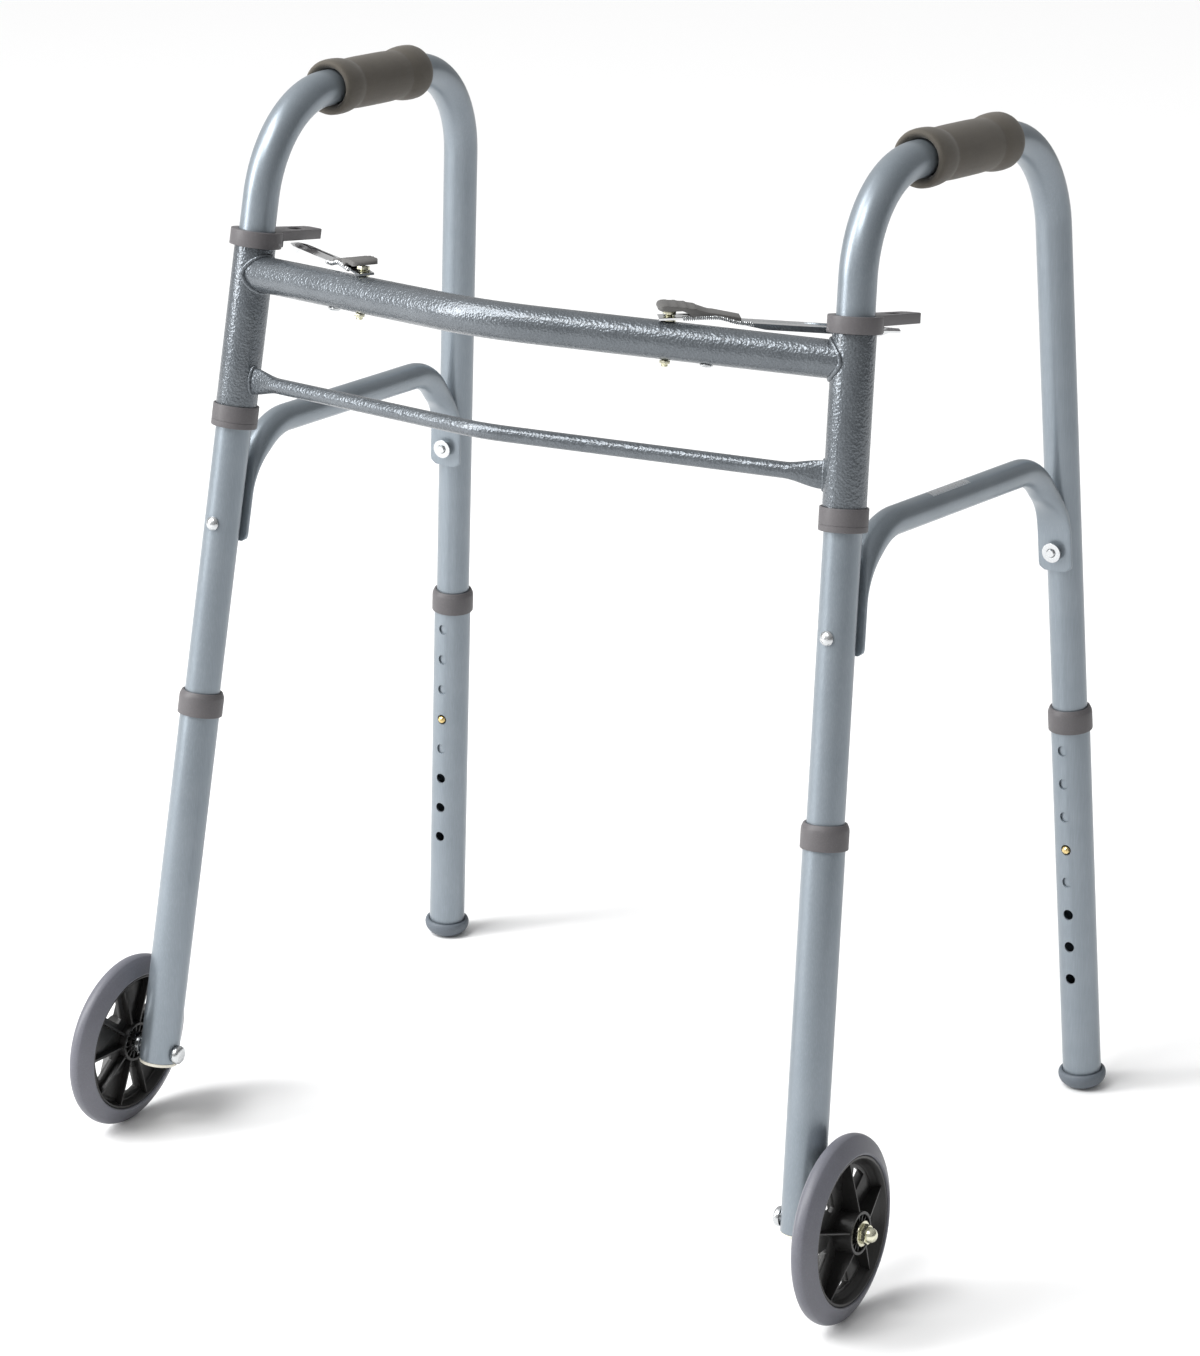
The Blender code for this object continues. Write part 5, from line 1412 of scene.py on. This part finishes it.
def make_axle_nut():
    """Washers and an acorn nut on the wheel's outer face."""
    seat = HUB_BOSS_OUTER + GAP
    flat = plate("axle_nut", [hexagon(7.0 * MM, 17.0)], 3.8 * MM, Matrix.Translation((0.0, 0.0, seat + 3.5 * MM)))
    cone = [(0.0, seat + 1.5 * MM), (6.4 * MM, seat + 1.5 * MM), (7.05 * MM, seat + 2.1 * MM),
            (7.05 * MM, seat + 4.7 * MM), (6.1 * MM, seat + 5.5 * MM), (0.0, seat + 5.5 * MM)]
    flat = combine(flat, lathe("chamfer", cone, FINE), "INTERSECT")
    dome = lathe("dome", [(0.0, seat + 11.0 * MM), (1.4 * MM, seat + 10.85 * MM), (2.8 * MM, seat + 10.3 * MM),
                          (4.0 * MM, seat + 9.3 * MM), (4.8 * MM, seat + 8.0 * MM), (5.15 * MM, seat + 6.4 * MM),
                          (5.2 * MM, seat + 5.3 * MM), (0.0, seat + 5.3 * MM)], 40)
    washer = ring("washer", 8.6 * MM, AXLE_RADIUS + GAP, seat, seat + 1.4 * MM, 0.3 * MM, 56)
    item = joined("axle_nut", [flat, dome, washer])
    item.data.transform(wheel_matrix())
    return outward_shells(item)


def make_axle_spacer():
    start = -WHEEL_OFFSET + EXTENSION_RADIUS + GAP
    end = -WHEEL_HALF_WIDTH + 1.0 * MM - GAP
    return ring("axle_spacer", 7.5 * MM, AXLE_RADIUS + GAP, start, end, 0.5 * MM, 40, wheel_matrix())


# ---------------------------------------------------------------- the walker's pieces

def dress_walker():
    side = "side_frame"
    add_pair(make_side_tube(), "side_tube_fine", "tube", side, ("side_tube",))
    add_pair(make_grip(), "handgrip_fine", "grip", side, ("handgrip",), 60.0)
    add_pair(make_brace(), "brace_fine", "tube", side, ("brace",), 50.0)
    add_single(make_brace_label(), "left_brace_label", "foil", "left_side_frame")
    add_brace_fasteners()
    add_pair(make_latch_collar(), "latch_collar_fine", "plastic", side, ("latch_collar",), 50.0)

    front = "front_frame"
    add_pair(make_sleeve(), "sleeve_fine", "hammertone", front, ("sleeve",))
    add_pair(make_sleeve_bushing(), "sleeve_bushing_fine", "plastic", front, ("sleeve_bushing",))
    add_single(make_upper_crossbar(), "upper_crossbar_fine", "hammertone", front, ("upper_crossbar",))
    add_single(make_lower_crossbar(), "lower_crossbar_fine", "hammertone", front, ("lower_crossbar",))
    add_pair(make_upper_weld(), "upper_weld", "hammertone", front)
    add_pair(make_lower_weld(), "lower_weld", "hammertone", front)
    add_pair(make_lever_bolt(), "lever_bolt_fine", "yellow_zinc", front, ("lever_bolt",))
    add_pair(make_lever_nut(), "lever_nut", "yellow_zinc", front)
    add_pair(make_bar_plug_rivet(), "lever_rivet_fine", "zinc", front, ("lever_rivet",))

    add_pair(make_lever_strip(), "lever_strip_fine", "chrome", "lever", ("lever_strip",))
    add_pair(make_lever_pad(), "lever_pad_fine", "pad", "lever", ("lever_pad",), 50.0)
    add_pair(make_lever_spring(), "lever_spring", "zinc", "lever")

    leg = "front_leg"
    add_pair(make_front_extension(), "front_extension_fine", "tube", leg, ("front_extension",))
    add_pair(leg_clamp("clamp", front_matrix(FRONT_CLAMP_TOP_Z)), "front_leg_clamp_fine", "plastic", leg,
             ("front_leg_clamp",))
    add_pair(make_end_plug(), "end_plug_fine", "nylon", leg, ("end_plug",))
    add_pair(make_axle_bolt(), "axle_bolt_fine", "zinc", leg, ("axle_bolt",))
    add_pair(make_axle_nut(), "axle_nut_fine", "yellow_zinc", leg, ("axle_nut",))
    add_pair(make_axle_spacer(), "axle_spacer_fine", "zinc", leg, ("axle_spacer",))

    leg = "rear_leg"
    add_pair(make_rear_extension(), "rear_extension_fine", "tube", leg, ("rear_extension",))
    add_pair(leg_clamp("clamp", rear_matrix(REAR_CLAMP_TOP_Z)), "rear_leg_clamp_fine", "plastic", leg,
             ("rear_leg_clamp",))
    add_pair(make_glide_cap(), "glide_cap_fine", "glide", leg, ("glide_cap",))

    add_pair(make_tyre(), "tyre_fine", "tyre", "wheel", ("tyre",))
    add_pair(make_hub(), "hub_fine", "hub", "wheel", ("hub",))

    for prefix in ("left_", "right_"):
        for button in ("front_snap_button", "rear_snap_button"):
            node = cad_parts[prefix + button]
            node.data.materials.clear()
            node.data.materials.append(MATERIALS["brass"][0])


# ---------------------------------------------------------------- stage, light and camera

def make_floor():
    reach = 9.0
    shape = bmesh.new()
    corners = [shape.verts.new(spot) for spot in ((-reach, -reach, 0.0), (reach, -reach, 0.0),
                                                  (reach, reach, 0.0), (-reach, reach, 0.0))]
    shape.faces.new(corners)
    floor = link("studio_floor", as_mesh("studio_floor", shape))
    floor.location.z = -0.3 * MM
    material = bpy.data.materials.new("studio_floor")
    material.use_nodes = True
    shader = material.node_tree.nodes["Principled BSDF"]
    shader.inputs["Base Color"].default_value = (0.92, 0.92, 0.92, 1.0)
    shader.inputs["Roughness"].default_value = 0.9
    shader.inputs["Specular IOR Level"].default_value = 0.1
    floor.data.materials.append(material)


def area_light(name, location, target, size, power, size_y=None):
    data = bpy.data.lights.new(name, "AREA")
    data.energy = power
    data.size = size
    if size_y:
        data.shape = "RECTANGLE"
        data.size_y = size_y
    light = bpy.data.objects.new(name, data)
    light.location = location
    light.rotation_euler = (Vector(target) - Vector(location)).to_track_quat("-Z", "Y").to_euler()
    bpy.context.scene.collection.objects.link(light)


def sky(world):
    """Soft studio surroundings: bright above and on the key side, dim on the other."""
    nodes, links = world.node_tree.nodes, world.node_tree.links
    background = nodes["Background"]
    coords = nodes.new("ShaderNodeTexCoord")
    along_key = nodes.new("ShaderNodeVectorMath")
    along_key.operation = "DOT_PRODUCT"
    along_key.inputs[1].default_value = SKY_KEY
    links.new(coords.outputs["Generated"], along_key.inputs[0])
    strength = blend_range(nodes, links, along_key.outputs["Value"], SKY_DIM, SKY_BRIGHT, -0.8, 0.9)
    background.inputs["Color"].default_value = (1.0, 1.0, 1.0, 1.0)
    links.new(strength, background.inputs["Strength"])


def make_studio():
    scene = bpy.context.scene
    world = bpy.data.worlds.new("studio")
    world.use_nodes = True
    scene.world = world
    sky(world)
    scene.view_settings.view_transform = "Standard"
    middle = (0.0, 0.0, 0.4)
    area_light("key_from_left", (-2.3, -2.0, 1.9), middle, 1.0, 95.0, 2.4)
    area_light("top", (-1.3, -0.6, 2.6), middle, 0.8, 18.0)
    sun = bpy.data.lights.new("broad", "SUN")
    sun.energy = SUN_POWER
    sun.angle = math.radians(24.0)
    light = bpy.data.objects.new("broad", sun)
    light.rotation_euler = Vector((0.30, 0.85, -1.35)).to_track_quat("-Z", "Y").to_euler()
    bpy.context.scene.collection.objects.link(light)


SKY_KEY = (-0.72, -0.25, 0.65)
SKY_DIM = 0.12
SKY_BRIGHT = 0.75
SUN_POWER = 1.6


def make_camera():
    azimuth, elevation = math.radians(31.06), math.radians(19.70)
    distance = 2.84355
    target = Vector((-0.00516, 0.00981, 0.33346))
    back = Vector((math.sin(azimuth) * math.cos(elevation), -math.cos(azimuth) * math.cos(elevation),
                   math.sin(elevation)))
    data = bpy.data.cameras.new("camera")
    data.sensor_width = 36.0
    data.lens = 107.36
    camera = bpy.data.objects.new("camera", data)
    turn = (-back).to_track_quat("-Z", "Y").to_matrix().to_4x4()
    roll = Matrix.Rotation(math.radians(ROLL), 4, "Z")
    camera.matrix_world = Matrix.Translation(target + back * distance) @ turn @ roll
    bpy.context.scene.collection.objects.link(camera)
    bpy.context.scene.camera = camera


ROLL = -0.23

dress_walker()
make_floor()
make_studio()
make_camera()
